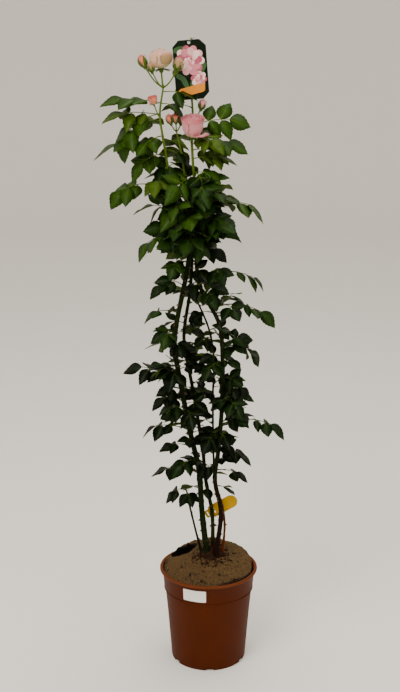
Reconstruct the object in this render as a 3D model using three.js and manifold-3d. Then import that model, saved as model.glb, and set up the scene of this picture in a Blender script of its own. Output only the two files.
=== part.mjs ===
// A rose bush in its nursery pot: five canes that rise from one graft union, laced with
// sprays of five-leaflet leaves, three flowering stems at the top, a mat of coconut fibre
// on the soil, and a tapered plastic pot with a rolled lip.
// Units are millimetres, +Z is up, and the origin is the centre of the pot's underside.
// The front of the plant looks along -Y. Turns are degrees seen from above: 0 is right
// (+X), 90 is back, 180 is left and -90 is front.

import * as THREE from 'three';
import { mergeVertices } from 'three/addons/utils/BufferGeometryUtils.js';
import Module from 'manifold-3d';

const wasm = await Module();
wasm.setup();

// Driving sizes of the pot and its filling
const CLEAR = 0.3;
const potHeight = 223.6;
const potBaseRadius = 85.8;
const potTaper = 0.078;
const potWall = 2;
const potFloor = 3;
const potSides = 28;
const collarFoot = 172;
const collarStep = 3;
const lipRadius = 112.5;
const lipHeight = 7.5;
const drainCount = 6;
const drainWidth = 18;
const drainHeight = 6;
const soilTop = 204;
const soilInset = 0.8;
const matEdge = 216;
const matRadius = 101.6;
const matSlit = { x: -56, y: 30, turn: 30, top: 17, foot: 12, stretch: 1.5, squash: 0.8, low: 212, depth: 60 };
const label = { from: -123, to: -93.5, low: 180.5, high: 208.5, thickness: 0.5 };
const collarFlare = 0.09;

// Driving sizes of the tags
const pictureTag = {
  width: 69, height: 120, chamfer: 13, thickness: 0.8, hole: 3.2, holeDrop: 5.4, lean: 4.5,
  x: -38.5, y: -9.6, z: 1340,
};
const tagTie = { radius: 8, wire: 0.7, roll: 37, y: -5 };
const yellowTag = { length: 82, width: 31, thickness: 0.8, slant: 30, height: 352, clip: 9, clipWall: 1.2 };

// Driving sizes of the plant
const leafSpan = 112;
const leastSpan = 72;
const leafletLeast = 20;
const leafletShare = 0.22;
const leafletWidth = 0.72;
const leafletThickness = 1.0;
const leafletSink = 0.3;
const rachisRadius = 1.35;
const stemRadius = 2.1;
const smallLeaf = 84;
const limbClear = 1.6;
const neighbourClear = 0.35;
const caneSides = 8;
const caneStep = 58;

// The graft union's lumps: x, y, z and half sizes
const unionLumps = [
  [0, 0, 252, 19, 17, 27], [20, 2, 262, 14, 12, 17], [-14, -2, 262, 11, 10, 15], [6, 6, 268, 14, 11, 16],
];
const unionNeck = { x: 2, foot: 19, top: 15, height: 50 };

const up = new THREE.Vector3(0, 0, 1);
const vec = (x, y, z) => new THREE.Vector3(x, y, z);
const radians = THREE.MathUtils.degToRad;

// Materials by finish
const finish = (color, roughness) => new THREE.MeshStandardMaterial({ color, roughness, metalness: 0 });
const finishes = {
  terracottaPlastic: finish('#7a3a14', 0.5),
  soil: finish('#1c1512', 0.95),
  coir: finish('#8a6a38', 0.95),
  bark: finish('#5a4028', 0.8),
  greenBark: finish('#4f6a28', 0.6),
  leaf: finish('#2f4a14', 0.5),
  darkCard: finish('#1c2a1c', 0.35),
  tieWire: finish('#6e6c64', 0.4),
  yellowPlastic: finish('#d8b010', 0.45),
  whitePaper: finish('#dedcd8', 0.6),
};

// Solids are joined and cut as closed bodies with shared corners
function bareGeometry(geometry) {
  const bare = geometry.clone();
  bare.deleteAttribute('normal');
  bare.deleteAttribute('uv');
  return bare;
}

function solid(geometry) {
  const merged = mergeVertices(bareGeometry(geometry), 1e-4);
  const vertProperties = new Float32Array(merged.attributes.position.array);
  const triVerts = new Uint32Array(merged.index.array);
  return new wasm.Manifold(new wasm.Mesh({ numProp: 3, vertProperties, triVerts }));
}

function geometryOf(body) {
  const { vertProperties, triVerts } = body.getMesh();
  const geometry = new THREE.BufferGeometry();
  geometry.setAttribute('position', new THREE.BufferAttribute(vertProperties, 3));
  geometry.setIndex(new THREE.BufferAttribute(triVerts, 1));
  geometry.computeVertexNormals();
  return geometry;
}

const joined = (bodies) => bodies.reduce((whole, body) => whole.add(body));

// Only the largest body of a join stays, so a scrap cut loose is dropped
function wholeBody(body) {
  const pieces = body.decompose();
  return pieces.reduce((best, piece) => (piece.volume() > best.volume() ? piece : best));
}

function node(name, geometry, material) {
  const mesh = new THREE.Mesh(geometry, material);
  mesh.name = name;
  return mesh;
}

// A repeatable row of numbers between 0 and 1
function seeded(seed) {
  let state = seed * 7919 + 1013;
  const next = () => {
    state = (state * 16807) % 2147483647;
    return state / 2147483647;
  };
  next();
  next();
  return next;
}

// A tapering limb: a closed cylinder whose rings are moved onto a path
function limb(path, radii, sides) {
  const steps = path.length - 1;
  const geometry = new THREE.CylinderGeometry(1, 1, 1, sides, steps);
  const tangents = path.map((point, i) => {
    const before = path[Math.max(i - 1, 0)];
    const after = path[Math.min(i + 1, steps)];
    return after.clone().sub(before).normalize();
  });
  const frames = [];
  let across = vec(0.37, -0.93, 0).cross(tangents[0]).normalize();
  if (across.lengthSq() < 0.5) across = vec(1, 0, 0);
  for (const tangent of tangents) {
    across = across.clone().addScaledVector(tangent, -across.dot(tangent)).normalize();
    frames.push([across, across.clone().cross(tangent)]);
  }
  const place = geometry.attributes.position;
  for (let i = 0; i < place.count; i++) {
    const ring = Math.round((place.getY(i) + 0.5) * steps);
    const [side, depth] = frames[ring];
    const moved = path[ring].clone()
      .addScaledVector(side, place.getX(i) * radii[ring])
      .addScaledVector(depth, place.getZ(i) * radii[ring]);
    place.setXYZ(i, moved.x, moved.y, moved.z);
  }
  return geometry;
}

// The pot: body, stepped collar and rolled lip, turned as one closed wall
function potGeometry() {
  const outer = (z) => potBaseRadius + potTaper * z;
  const collarRadius = outer(collarFoot) + collarStep;
  const lipFoot = potHeight - lipHeight;
  const collarTop = collarRadius + collarFlare * (lipFoot - collarFoot);
  const profile = [
    [0, 0], [potBaseRadius, 0], [outer(collarFoot), collarFoot], [collarRadius, collarFoot + 2],
    [collarTop, lipFoot - 0.5], [lipRadius - 1.5, lipFoot + 0.5], [lipRadius, lipFoot + 3],
    [lipRadius - 1.6, potHeight - 0.8], [lipRadius - 4, potHeight],
    [collarTop - potWall, lipFoot], [collarRadius - potWall, collarFoot + 1],
    [outer(potFloor) - potWall, potFloor], [0, potFloor],
  ].map(([r, z]) => new THREE.Vector2(r, z));
  const turned = new THREE.LatheGeometry(profile, potSides);
  turned.rotateX(Math.PI / 2);
  let wall = solid(turned);
  for (let i = 0; i < drainCount; i++) {
    const drain = new THREE.BoxGeometry(16, drainWidth, drainHeight + 2);
    drain.translate(potBaseRadius - 1, 0, drainHeight / 2 - 1);
    drain.rotateZ(radians(-88 + (360 / drainCount) * i));
    wall = wall.subtract(solid(drain));
  }
  return geometryOf(wall);
}

// Soil fills the pot to just under the mat
function soilGeometry() {
  const inner = (z) => potBaseRadius + potTaper * z - potWall - soilInset;
  const profile = [
    [0, potFloor + CLEAR], [inner(potFloor), potFloor + CLEAR],
    [inner(collarFoot), collarFoot], [inner(soilTop), soilTop], [0, soilTop],
  ].map(([r, z]) => new THREE.Vector2(r, z));
  const turned = new THREE.LatheGeometry(profile, 24);
  turned.rotateX(Math.PI / 2);
  return turned;
}

// The fibre mat is mounded round the canes and pushed up at the back
function matHeight(x, y) {
  const out = Math.min(Math.hypot(x, y) / matRadius, 1);
  const back = y / matRadius;
  const mound = 30 * (1 - out * out);
  const rise = 14 * out * out * Math.max(back, -0.2);
  const slope = 16 * Math.max(back, 0) * (1 - 0.35 * out);
  const side = 8 * Math.max(x / matRadius, 0) * out;
  return matEdge + mound + rise + slope + side;
}

function matGeometry(roundUnion) {
  const rings = 5;
  const sides = 20;
  const profile = [new THREE.Vector2(0, 0), new THREE.Vector2(matRadius - 1.6, 0)];
  for (let i = rings; i >= 0; i--) profile.push(new THREE.Vector2((matRadius * i) / rings, 1));
  const turned = new THREE.LatheGeometry(profile, sides);
  turned.rotateX(Math.PI / 2);
  const place = turned.attributes.position;
  for (let i = 0; i < place.count; i++) {
    const onTop = place.getZ(i) > 0.5;
    const z = onTop ? matHeight(place.getX(i), place.getY(i)) : soilTop + CLEAR;
    place.setZ(i, z);
  }
  const slit = new THREE.CylinderGeometry(matSlit.top, matSlit.foot, matSlit.depth, 7);
  slit.rotateX(Math.PI / 2);
  slit.scale(matSlit.stretch, matSlit.squash, 1);
  slit.rotateZ(radians(matSlit.turn));
  slit.translate(matSlit.x, matSlit.y, matSlit.low + matSlit.depth / 2);
  return geometryOf(wholeBody(solid(turned).subtract(solid(slit)).subtract(roundUnion)));
}

// The knobbly graft union, cut flat where it stands on the soil
function unionBody(grow) {
  const bodies = unionLumps.map(([x, y, z, rx, ry, rz]) => {
    const lump = new THREE.SphereGeometry(1, 8, 5);
    lump.rotateX(Math.PI / 2);
    lump.scale(rx + grow, ry + grow, rz + grow);
    lump.translate(x, y, z);
    return solid(lump);
  });
  const neck = new THREE.CylinderGeometry(unionNeck.top + grow, unionNeck.foot + grow, unionNeck.height, 8);
  neck.rotateX(Math.PI / 2);
  neck.translate(unionNeck.x, 0, soilTop + unionNeck.height / 2 + CLEAR);
  return joined([...bodies, solid(neck)]);
}

// Canes by height: z, x, y and radius where the line bends
const canes = {
  left: [
    [262, -5, -4, 7.4], [368, -16, -5, 6.6], [460, -22, -8, 6.3], [553, -42, -10, 6.1], [670, -63, -12, 5.9],
    [751, -76, -12, 5.7], [796, -72, -12, 5.6], [918, -48, -11, 5.3], [984, -41, -10, 5.0],
    [1040, -47, -9, 4.6], [1091, -73, -9, 4.1],
  ],
  back: [
    [264, 10, 9, 5.0], [348, 8, 12, 4.5], [430, -7, 16, 4.4], [494, -13, 20, 4.3], [624, -33, 26, 4.1],
    [739, -53, 26, 4.0], [776, -55, 24, 3.9], [874, -41, 14, 3.8], [962, -37, 10, 3.7],
    [1049, -41, 9, 3.5], [1119, -51, 8, 3.2],
  ],
  right: [
    [262, 18, -7, 6.0], [360, 28, -9, 5.4], [438, 14, -9, 5.2], [506, 21, -14, 5.1], [624, 29, -22, 5.0],
    [739, 29, -22, 4.8], [803, 22, -16, 4.7], [885, -20, -9, 4.5], [962, -28, -5, 4.3],
    [1038, -28, -4, 4.0], [1112, -32, -3, 3.5],
  ],
  thin: [
    [258, 33, 5, 3.0], [319, 37, 10, 2.7], [367, 31, 13, 2.7], [414, 17, 15, 2.6], [458, 12, 14, 2.6],
    [624, 9, 10, 2.5], [716, 11, 8, 2.4], [785, 0, 5, 2.3], [852, -27, 4, 2.0],
  ],
  short: [
    [262, -17, -5, 3.2], [303, -27, -9, 2.6], [381, -44, -15, 2.4], [409, -49, -17, 2.0],
  ],
};

// A cane is smooth between its rows, and is read by height
function caneAt(rows, z) {
  const last = rows.length - 1;
  let i = 0;
  while (i < last - 1 && z > rows[i + 1][0]) i += 1;
  const before = rows[Math.max(i - 1, 0)];
  const [from, to] = [rows[i], rows[i + 1]];
  const after = rows[Math.min(i + 2, last)];
  const gap = to[0] - from[0];
  const t = Math.min(Math.max((z - from[0]) / gap, 0), 1);
  return [1, 2, 3].map((k) => {
    const leave = ((to[k] - before[k]) / (to[0] - before[0])) * gap;
    const arrive = ((after[k] - from[k]) / (after[0] - from[0])) * gap;
    const t2 = t * t;
    const t3 = t2 * t;
    return from[k] * (2 * t3 - 3 * t2 + 1) + leave * (t3 - 2 * t2 + t)
      + to[k] * (3 * t2 - 2 * t3) + arrive * (t3 - t2);
  });
}

// The rings that a cane's solid is built on, as x, y, radius and height
function caneRings(rows) {
  const foot = rows[0][0];
  const top = rows[rows.length - 1][0];
  const steps = Math.max(4, Math.round((top - foot) / caneStep));
  return Array.from({ length: steps + 1 }, (_, i) => {
    const z = foot + ((top - foot) * i) / steps;
    return [...caneAt(rows, z), z];
  });
}

function caneLimb(rows, grow) {
  const rings = caneRings(rows);
  return solid(limb(rings.map(([x, y, , z]) => vec(x, y, z)), rings.map(([, , r]) => r + grow), caneSides));
}

// The middle of the faceted solid, which is straight between its rings
function facetedCaneAt(rows, z) {
  const rings = caneRings(rows);
  const i = Math.max(1, rings.findIndex((ring) => ring[3] >= z));
  const [from, to] = [rings[i - 1], rings[i]];
  const t = (z - from[3]) / (to[3] - from[3]);
  return [0, 1, 2].map((k) => from[k] + (to[k] - from[k]) * t);
}

// A point touches a limb when it lies within the limb's own radius at that height
function touchesCane(point, spare) {
  return Object.values(canes).some((rows) => {
    if (point.z < rows[0][0] || point.z > rows[rows.length - 1][0]) return false;
    const [x, y, r] = caneAt(rows, point.z);
    return Math.hypot(point.x - x, point.y - y) < r + spare;
  });
}

// A leaflet blade: an octahedron drawn out to base, tip, two edges and a folded middle
function leafletGeometry(base, along, across, length, width, fold, droop, thickness) {
  const normal = along.clone().cross(across);
  const blade = new THREE.OctahedronGeometry(1);
  const place = blade.attributes.position;
  for (let i = 0; i < place.count; i++) {
    const [x, y, z] = [place.getX(i), place.getY(i), place.getZ(i)].map(Math.round);
    const point = base.clone();
    if (x > 0) point.addScaledVector(along, length).addScaledVector(normal, -droop * length);
    if (x < 0) point.addScaledVector(along, -leafletSink);
    if (y !== 0) {
      point.addScaledVector(along, 0.42 * length).addScaledVector(across, (y * width) / 2)
        .addScaledVector(normal, (fold * width) / 2);
    }
    if (z !== 0) point.addScaledVector(along, 0.24 * length).addScaledVector(normal, (z * thickness) / 2);
    place.setXYZ(i, point.x, point.y, point.z);
  }
  return blade;
}

// The seeded rule for one leaf: its rachis bends down along its span, two pairs of leaflets
// and an end leaflet stand on it
function leafPlan(root, turn, span, pitch, droop, random) {
  const roll = radians((random() - 0.5) * 70);
  const bend = radians((random() - 0.5) * 30);
  const steps = 2;
  const small = span < smallLeaf;
  const blade = leafletLeast + leafletShare * span + (small ? 3 : 0);
  const bare = span - blade;
  const rachis = [root.clone()];
  const headingAt = (s) => {
    const a = radians(turn) + bend * s;
    const p = radians(pitch - droop * s);
    return vec(Math.cos(a) * Math.cos(p), Math.sin(a) * Math.cos(p), Math.sin(p));
  };
  for (let i = 0; i < steps; i++) {
    rachis.push(rachis[i].clone().addScaledVector(headingAt((i + 0.5) / (steps + 1)), bare / steps));
  }
  const pointAt = (s) => {
    const at = Math.min(s * steps, steps - 1e-6);
    const i = Math.floor(at);
    return rachis[i].clone().lerp(rachis[i + 1], at - i);
  };
  const leaflets = [];
  const places = [[0.42, 1, 0.8], [0.46, -1, 0.8], [0.76, 1, 0.95], [0.8, -1, 0.95], [0.995, 0, 1.05]];
  for (const [s, side, share] of places.slice(small ? 2 : 0)) {
    const spread = radians(62 + (random() - 0.5) * 24);
    const length = blade * share * (0.9 + 0.2 * random());
    const twist = radians((random() - 0.5) * 44);
    const hang = side === 0 ? 0.1 + 0.25 * random() : 0.2 + 0.65 * random();
    const heading = side === 0 ? headingAt(1) : headingAt((s * bare) / span);
    const level = heading.clone().cross(up).normalize().negate();
    const flat = level.applyAxisAngle(heading, roll);
    const normal = heading.clone().cross(flat);
    const along = side === 0 ? heading.clone()
      : heading.clone().multiplyScalar(Math.cos(spread)).addScaledVector(flat, side * Math.sin(spread));
    along.addScaledVector(up, -hang).normalize();
    const across = normal.clone().cross(along).normalize().applyAxisAngle(along, twist);
    leaflets.push({ base: pointAt(s), along, across, length, width: length * leafletWidth });
  }
  return { rachis, leaflets };
}

function leafletMeetsCane({ base, along, across, length, width }) {
  for (let i = 2; i <= 8; i++) {
    const half = width * 0.5 * Math.min(1, (8 - i) / 4 + 0.05);
    for (const j of [-1, -0.5, 0, 0.5, 1]) {
      const point = base.clone().addScaledVector(along, (length * i) / 8).addScaledVector(across, half * j);
      if (touchesCane(point, limbClear)) return true;
    }
  }
  return false;
}

// Every solid already placed, with its mass's name, so that masses keep to their own space
const placed = [];
const boxesMeet = (a, b) => [0, 1, 2].every((k) => a.min[k] <= b.max[k] && b.min[k] <= a.max[k]);

function keep(owner, body) {
  placed.push({ owner, body, box: body.boundingBox() });
  return body;
}

function meetsOthers(owner, body) {
  const box = body.boundingBox();
  return placed.some((other) => {
    if (other.owner === owner || !boxesMeet(box, other.box)) return false;
    const shared = body.intersect(other.body);
    const meets = !shared.isEmpty();
    shared.delete();
    return meets;
  });
}

// Stems, flowers and tags are never skipped, so each of them has to be set clear
function keepClear(owner, body) {
  if (meetsOthers(owner, body)) throw new Error(`${owner} meets another sub-part`);
  return keep(owner, body);
}

function twig(path, from, to, grow) {
  const radii = path.map((point, i) => from + ((to - from) * i) / (path.length - 1) + grow);
  return solid(limb(path, radii, 3));
}

const leafletBody = (plan, grow) => solid(leafletGeometry(
  plan.base, plan.along, plan.across, plan.length + grow, plan.width + 2 * grow,
  0.28, 0.1, leafletThickness + 2 * grow,
));

// A mass grows its leaves on its stem; one that would leave its space is skipped
function growLeaf(owner, plan, bodies) {
  if (plan.rachis.slice(1).some((point) => touchesCane(point, limbClear))) return;
  if (meetsOthers(owner, twig(plan.rachis, rachisRadius, rachisRadius * 0.8, neighbourClear))) return;
  bodies.push(keep(owner, twig(plan.rachis, rachisRadius, rachisRadius * 0.8, 0)));
  for (const leaflet of plan.leaflets) {
    if (leafletMeetsCane(leaflet)) continue;
    if (meetsOthers(owner, leafletBody(leaflet, neighbourClear))) continue;
    bodies.push(keep(owner, leafletBody(leaflet, 0)));
  }
}

// A side spray leaves its cane on an arc: reach and rise say where its last leaf ends
function sprayPlan(index, [, cane, height, turn, reach, rise, arch, count]) {
  const random = seeded(index + 1);
  const [x, y] = caneAt(canes[cane], height);
  const endSpan = Math.min(leafSpan, Math.max((reach - 12) / 0.92, leastSpan)) * (0.94 + 0.12 * random());
  const out = Math.max(reach - 0.92 * endSpan, 14);
  const far = Math.max(reach, out + 0.92 * endSpan);
  const heightAt = (h) => height + rise * (h / far) + 4 * arch * (h / far) * (1 - h / far);
  const slopeAt = (h) => THREE.MathUtils.radToDeg(Math.atan((rise + 4 * arch * (1 - (2 * h) / far)) / far));
  const point = (h) => vec(x + h * Math.cos(radians(turn)), y + h * Math.sin(radians(turn)), heightAt(h));
  const steps = out > 40 ? 4 : 2;
  const stem = [];
  for (let i = 0; i <= steps; i++) stem.push(point((out * i) / steps));
  const leaves = [];
  for (let k = 0; k < count; k++) {
    const isEnd = k === count - 1;
    const along = isEnd ? 1 : 0.42 + (0.5 * k) / Math.max(count - 1, 1) + 0.06 * random();
    const h = Math.max(out * along, 11);
    const side = (k + index) % 2 ? 1 : -1;
    const swing = isEnd ? (random() - 0.5) * 16 : side * (48 + 34 * random());
    const pitch = slopeAt(h) + (isEnd ? 0 : 10 + 22 * random());
    const droop = isEnd ? slopeAt(h) - slopeAt(far) : 26 + 26 * random();
    const span = isEnd ? endSpan : endSpan * (0.74 + 0.24 * random());
    leaves.push(leafPlan(isEnd ? stem[steps] : point(h), turn + swing, span, pitch, droop, random));
  }
  return { stem, leaves };
}

// Side sprays: name, cane, height, turn, reach, rise, arch, leaves
const sprays = [
  ['leaves_left_1', 'left', 1072, 182, 160, -16, 42, 3],
  ['leaves_left_2', 'left', 1004, 186, 132, -70, 26, 2],
  ['leaves_left_3', 'left', 878, 188, 62, 2, 12, 1],
  ['leaves_left_4', 'left', 826, 168, 54, -12, 10, 1],
  ['leaves_left_5', 'left', 664, 180, 126, 42, 14, 3],
  ['leaves_left_6', 'left', 622, 190, 76, 8, 14, 1],
  ['leaves_left_7', 'left', 556, 178, 104, 2, 12, 2],
  ['leaves_left_8', 'left', 516, 200, 60, 10, 8, 1],
  ['leaves_left_9', 'left', 452, 184, 106, 12, 12, 2],
  ['leaves_right_1', 'right', 1040, -6, 146, 4, 26, 3],
  ['leaves_right_2', 'right', 905, 2, 158, -30, 26, 2],
  ['leaves_right_3', 'right', 836, -8, 144, -24, 22, 2],
  ['leaves_right_4', 'right', 748, -4, 96, -70, 34, 2],
  ['leaves_right_5', 'right', 668, 4, 64, -42, 16, 1],
  ['leaves_right_6', 'right', 572, -2, 146, -12, 20, 3],
  ['leaves_right_7', 'right', 508, -24, 52, -10, 10, 1],
  ['leaves_right_8', 'right', 462, -10, 40, -16, 8, 1],
  ['leaves_front_1', 'right', 1084, -72, 92, 2, 20, 3],
  ['leaves_front_2', 'left', 1050, -108, 92, 2, 18, 2],
  ['leaves_front_3', 'right', 976, -84, 84, -16, 18, 2],
  ['leaves_front_4', 'left', 936, -124, 80, -12, 14, 1],
  ['leaves_front_5', 'right', 868, -76, 84, -8, 16, 2],
  ['leaves_front_6', 'left', 778, -110, 78, 2, 14, 1],
  ['leaves_front_7', 'right', 712, -112, 92, -14, 20, 2],
  ['leaves_front_8', 'left', 690, -96, 88, -6, 16, 2],
  ['leaves_front_9', 'right', 628, -62, 88, -10, 16, 2],
  ['leaves_front_10', 'left', 602, -82, 92, -6, 16, 2],
  ['leaves_front_11', 'right', 548, -118, 84, -8, 12, 2],
  ['leaves_front_12', 'left', 486, -118, 66, -4, 10, 1],
  ['leaves_back_1', 'back', 1092, 70, 92, 0, 20, 2],
  ['leaves_back_2', 'back', 1030, 118, 92, -6, 18, 2],
  ['leaves_back_3', 'back', 966, 62, 88, -14, 18, 2],
  ['leaves_back_4', 'back', 902, 128, 80, -6, 14, 1],
  ['leaves_back_5', 'back', 846, 84, 84, -10, 14, 2],
  ['leaves_back_6', 'back', 772, 72, 76, -4, 14, 1],
  ['leaves_back_7', 'back', 716, 104, 92, -14, 18, 2],
  ['leaves_back_8', 'thin', 656, 44, 92, -10, 18, 2],
  ['leaves_back_9', 'back', 618, 84, 88, -4, 16, 2],
  ['leaves_back_10', 'back', 556, 118, 84, -6, 14, 1],
  ['leaves_back_11', 'thin', 510, 58, 76, -4, 10, 1],
];

// Shoots that carry on from a cane's tip: the stem's path past the tip, its leaves as
// height, turn, span, pitch and droop, its blooms as place and radius, and its buds as place
// and radius, each on a stalk that leaves the stem at the height given last
const shoots = [
  {
    name: 'flowers_left', cane: 'left', girth: 3.4,
    path: [[-86, -10, 1123], [-91, -12, 1165], [-98, -13, 1207], [-103, -14, 1252], [-96, -14, 1303]],
    leaves: [
      [1250, 181, 124, 8, 14], [1193, 177, 148, 4, 16], [1206, 222, 84, -4, 30],
      [1262, -12, 62, -12, 30], [1296, -14, 74, 4, 12], [1150, 128, 108, 14, 34],
    ],
    blooms: [[-101, -16, 1361, 27]],
    buds: [
      [-140, -10, 1358, 9, 1303], [-119, -24, 1344, 8, 1303], [-63, -27, 1353, 11, 1303],
      [-118, -20, 1276, 8, 1240],
    ],
  },
  {
    name: 'flowers_middle', cane: 'back', girth: 2.8,
    path: [[-59, 6, 1170], [-69, 1, 1213]],
    leaves: [[1165, 96, 104, 16, 36], [1196, 70, 84, 22, 30]],
    blooms: [],
    buds: [[-77, -4, 1238, 7, 1213], [-63, -3, 1236, 7, 1213]],
  },
  {
    name: 'flowers_right', cane: 'right', girth: 3,
    path: [[-37, -2, 1196], [-35, -1, 1254], [-40, 0.4, 1330], [-38, 0.4, 1404]],
    leaves: [
      [1188, -3, 122, 14, 28], [1158, -10, 98, 12, 26], [1128, -38, 66, 16, 30],
      [1215, 64, 100, 14, 34], [1262, 150, 70, 24, 30],
    ],
    blooms: [[-35, -31, 1228, 25]],
    buds: [[-15, 2, 1270, 9, 1236]],
  },
  {
    name: 'leaves_thin_tip', cane: 'thin', girth: 1.8,
    path: [[-34, 4, 868], [-38, 6, 886]],
    leaves: [[886, 20, 82, 24, 40], [872, 92, 78, 14, 30]],
    blooms: [],
    buds: [],
  },
  {
    name: 'leaves_short_tip', cane: 'short', girth: 1.8,
    path: [[-52, -19, 424]],
    leaves: [[424, 176, 62, -14, 30], [418, -80, 62, 6, 30]],
    blooms: [],
    buds: [],
  },
];

const group = new THREE.Group();
const grownCanes = Object.fromEntries(
  Object.entries(canes).map(([name, rows]) => [name, caneLimb(rows, CLEAR * 1.15)]),
);

function addPot() {
  group.add(node('pot', potGeometry(), finishes.terracottaPlastic));
  group.add(node('soil', soilGeometry(), finishes.soil));
  group.add(node('coir_mat', matGeometry(unionBody(CLEAR)), finishes.coir));
  group.add(node('graft_union', geometryOf(unionBody(0)), finishes.bark));
}

function addCanes() {
  const roundUnion = unionBody(CLEAR);
  for (const [name, rows] of Object.entries(canes)) {
    const body = wholeBody(caneLimb(rows, 0).subtract(roundUnion));
    keep(`cane_${name}`, body);
    group.add(node(`cane_${name}`, geometryOf(body), finishes.greenBark));
  }
}

function addSprays() {
  const plans = sprays.map((row, index) => ({ name: row[0], cane: row[1], ...sprayPlan(index, row) }));
  for (const plan of plans) {
    const stem = twig(plan.stem, stemRadius, rachisRadius, 0).subtract(grownCanes[plan.cane]);
    plan.bodies = [keepClear(plan.name, wholeBody(stem))];
  }
  for (const plan of plans) {
    for (const leaf of plan.leaves) growLeaf(plan.name, leaf, plan.bodies);
    group.add(node(plan.name, geometryOf(wholeBody(joined(plan.bodies))), finishes.leaf));
  }
}

// A shoot's stem starts just clear of its cane's tip and is read by height as the cane is
function shootStem({ cane, path, girth }) {
  const rows = canes[cane];
  const last = rows[rows.length - 1];
  const tip = vec(...caneAt(rows, last[0]).slice(0, 2), last[0]);
  const before = vec(...caneAt(rows, last[0] - 6).slice(0, 2), last[0] - 6);
  const start = tip.clone().addScaledVector(tip.clone().sub(before).normalize(), CLEAR);
  const points = [start, ...path.map((place) => vec(...place))];
  const radii = points.map((point, i) => girth * (1 - (0.45 * i) / (points.length - 1)));
  return { points, radii };
}

function onStem(points, z) {
  const i = Math.max(1, points.findIndex((point, k) => k > 0 && point.z >= z));
  const [from, to] = [points[i - 1], points[i]];
  return from.clone().lerp(to, (z - from.z) / (to.z - from.z));
}

// A bloom: a rounded cup of petals
function bloomBody(centre, radius) {
  const cup = new THREE.IcosahedronGeometry(1, 1);
  cup.scale(radius, radius, radius * 0.86);
  cup.translate(centre.x, centre.y, centre.z);
  return solid(cup);
}

function budBody(centre, radius) {
  const bud = new THREE.SphereGeometry(1, 5, 4);
  bud.rotateX(Math.PI / 2);
  bud.scale(radius, radius, radius * 1.5);
  bud.translate(centre.x, centre.y, centre.z);
  return solid(bud);
}

// A stalk leaves the stem steeply and ends inside the flower's base
function stalk(from, to, flowerDepth) {
  const end = to.clone().addScaledVector(up, -flowerDepth);
  const elbow = from.clone().lerp(end, 0.5).addScaledVector(up, -0.12 * from.distanceTo(end));
  return twig([from, elbow, end], 1.5, 1.5, 0);
}

function addShoots() {
  const grown = shoots.map((shoot, index) => {
    const { points, radii } = shootStem(shoot);
    const bodies = [solid(limb(points, radii, 5))];
    for (const [x, y, z, radius] of shoot.blooms) {
      const centre = vec(x, y, z);
      bodies.push(stalk(onStem(points, Math.min(z - 40, points[points.length - 1].z)), centre, radius * 0.6));
      bodies.push(bloomBody(centre, radius));
    }
    for (const [x, y, z, radius, from] of shoot.buds) {
      const centre = vec(x, y, z);
      bodies.push(stalk(onStem(points, from), centre, radius), budBody(centre, radius));
    }
    bodies.forEach((body) => keepClear(shoot.name, body));
    return { shoot, index, points, bodies };
  });
  for (const { shoot, index, points, bodies } of grown) {
    shoot.leaves.forEach(([z, turn, span, pitch, droop], k) => {
      const random = seeded(200 + index * 20 + k);
      growLeaf(shoot.name, leafPlan(onStem(points, z), turn, span, pitch, droop, random), bodies);
    });
    group.add(node(shoot.name, geometryOf(wholeBody(joined(bodies))), finishes.leaf));
  }
}

// The picture tag: a card with cut corners that hangs by a wire ring on the right stem's tip
function addPictureTag() {
  const { width, height, chamfer, thickness, hole, holeDrop } = pictureTag;
  const [w, h] = [width / 2, height / 2];
  const outline = new THREE.Shape([
    [-w + chamfer, -h], [w - chamfer, -h], [w, -h + chamfer], [w, h - chamfer],
    [w - chamfer, h], [-w + chamfer, h], [-w, h - chamfer], [-w, -h + chamfer],
  ].map(([x, y]) => new THREE.Vector2(x, y)));
  const ring = new THREE.Path().absarc(0, h - holeDrop, hole, 0, Math.PI * 2, true);
  outline.holes.push(ring);
  const card = new THREE.ExtrudeGeometry(outline, { depth: thickness, bevelEnabled: false, curveSegments: 6 });
  const mesh = node('picture_tag', card, finishes.darkCard);
  mesh.rotation.set(Math.PI / 2, 0, 0);
  const hanger = new THREE.Group();
  hanger.position.set(pictureTag.x, pictureTag.y, pictureTag.z);
  hanger.rotation.set(0, radians(-pictureTag.lean), 0);
  hanger.add(mesh);
  group.add(hanger);
  hanger.updateMatrixWorld(true);
  keep('picture_tag', solid(card.clone().applyMatrix4(mesh.matrixWorld)));

  const eye = vec(0, h - holeDrop, thickness / 2).applyMatrix4(mesh.matrixWorld);
  const half = Math.sqrt(tagTie.radius ** 2 - (eye.y - tagTie.y) ** 2);
  const wire = new THREE.TorusGeometry(tagTie.radius, tagTie.wire, 4, 12);
  const tie = node('tag_tie', wire, finishes.tieWire);
  tie.rotation.set(0, radians(-tagTie.roll), 0);
  tie.position.set(
    eye.x + half * Math.cos(radians(tagTie.roll)), tagTie.y,
    eye.z + hole - tagTie.wire - 1 + half * Math.sin(radians(tagTie.roll)),
  );
  tie.updateMatrixWorld(true);
  group.add(tie);
  keepClear('tag_tie', solid(wire.clone().applyMatrix4(tie.matrixWorld)));
}

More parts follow.
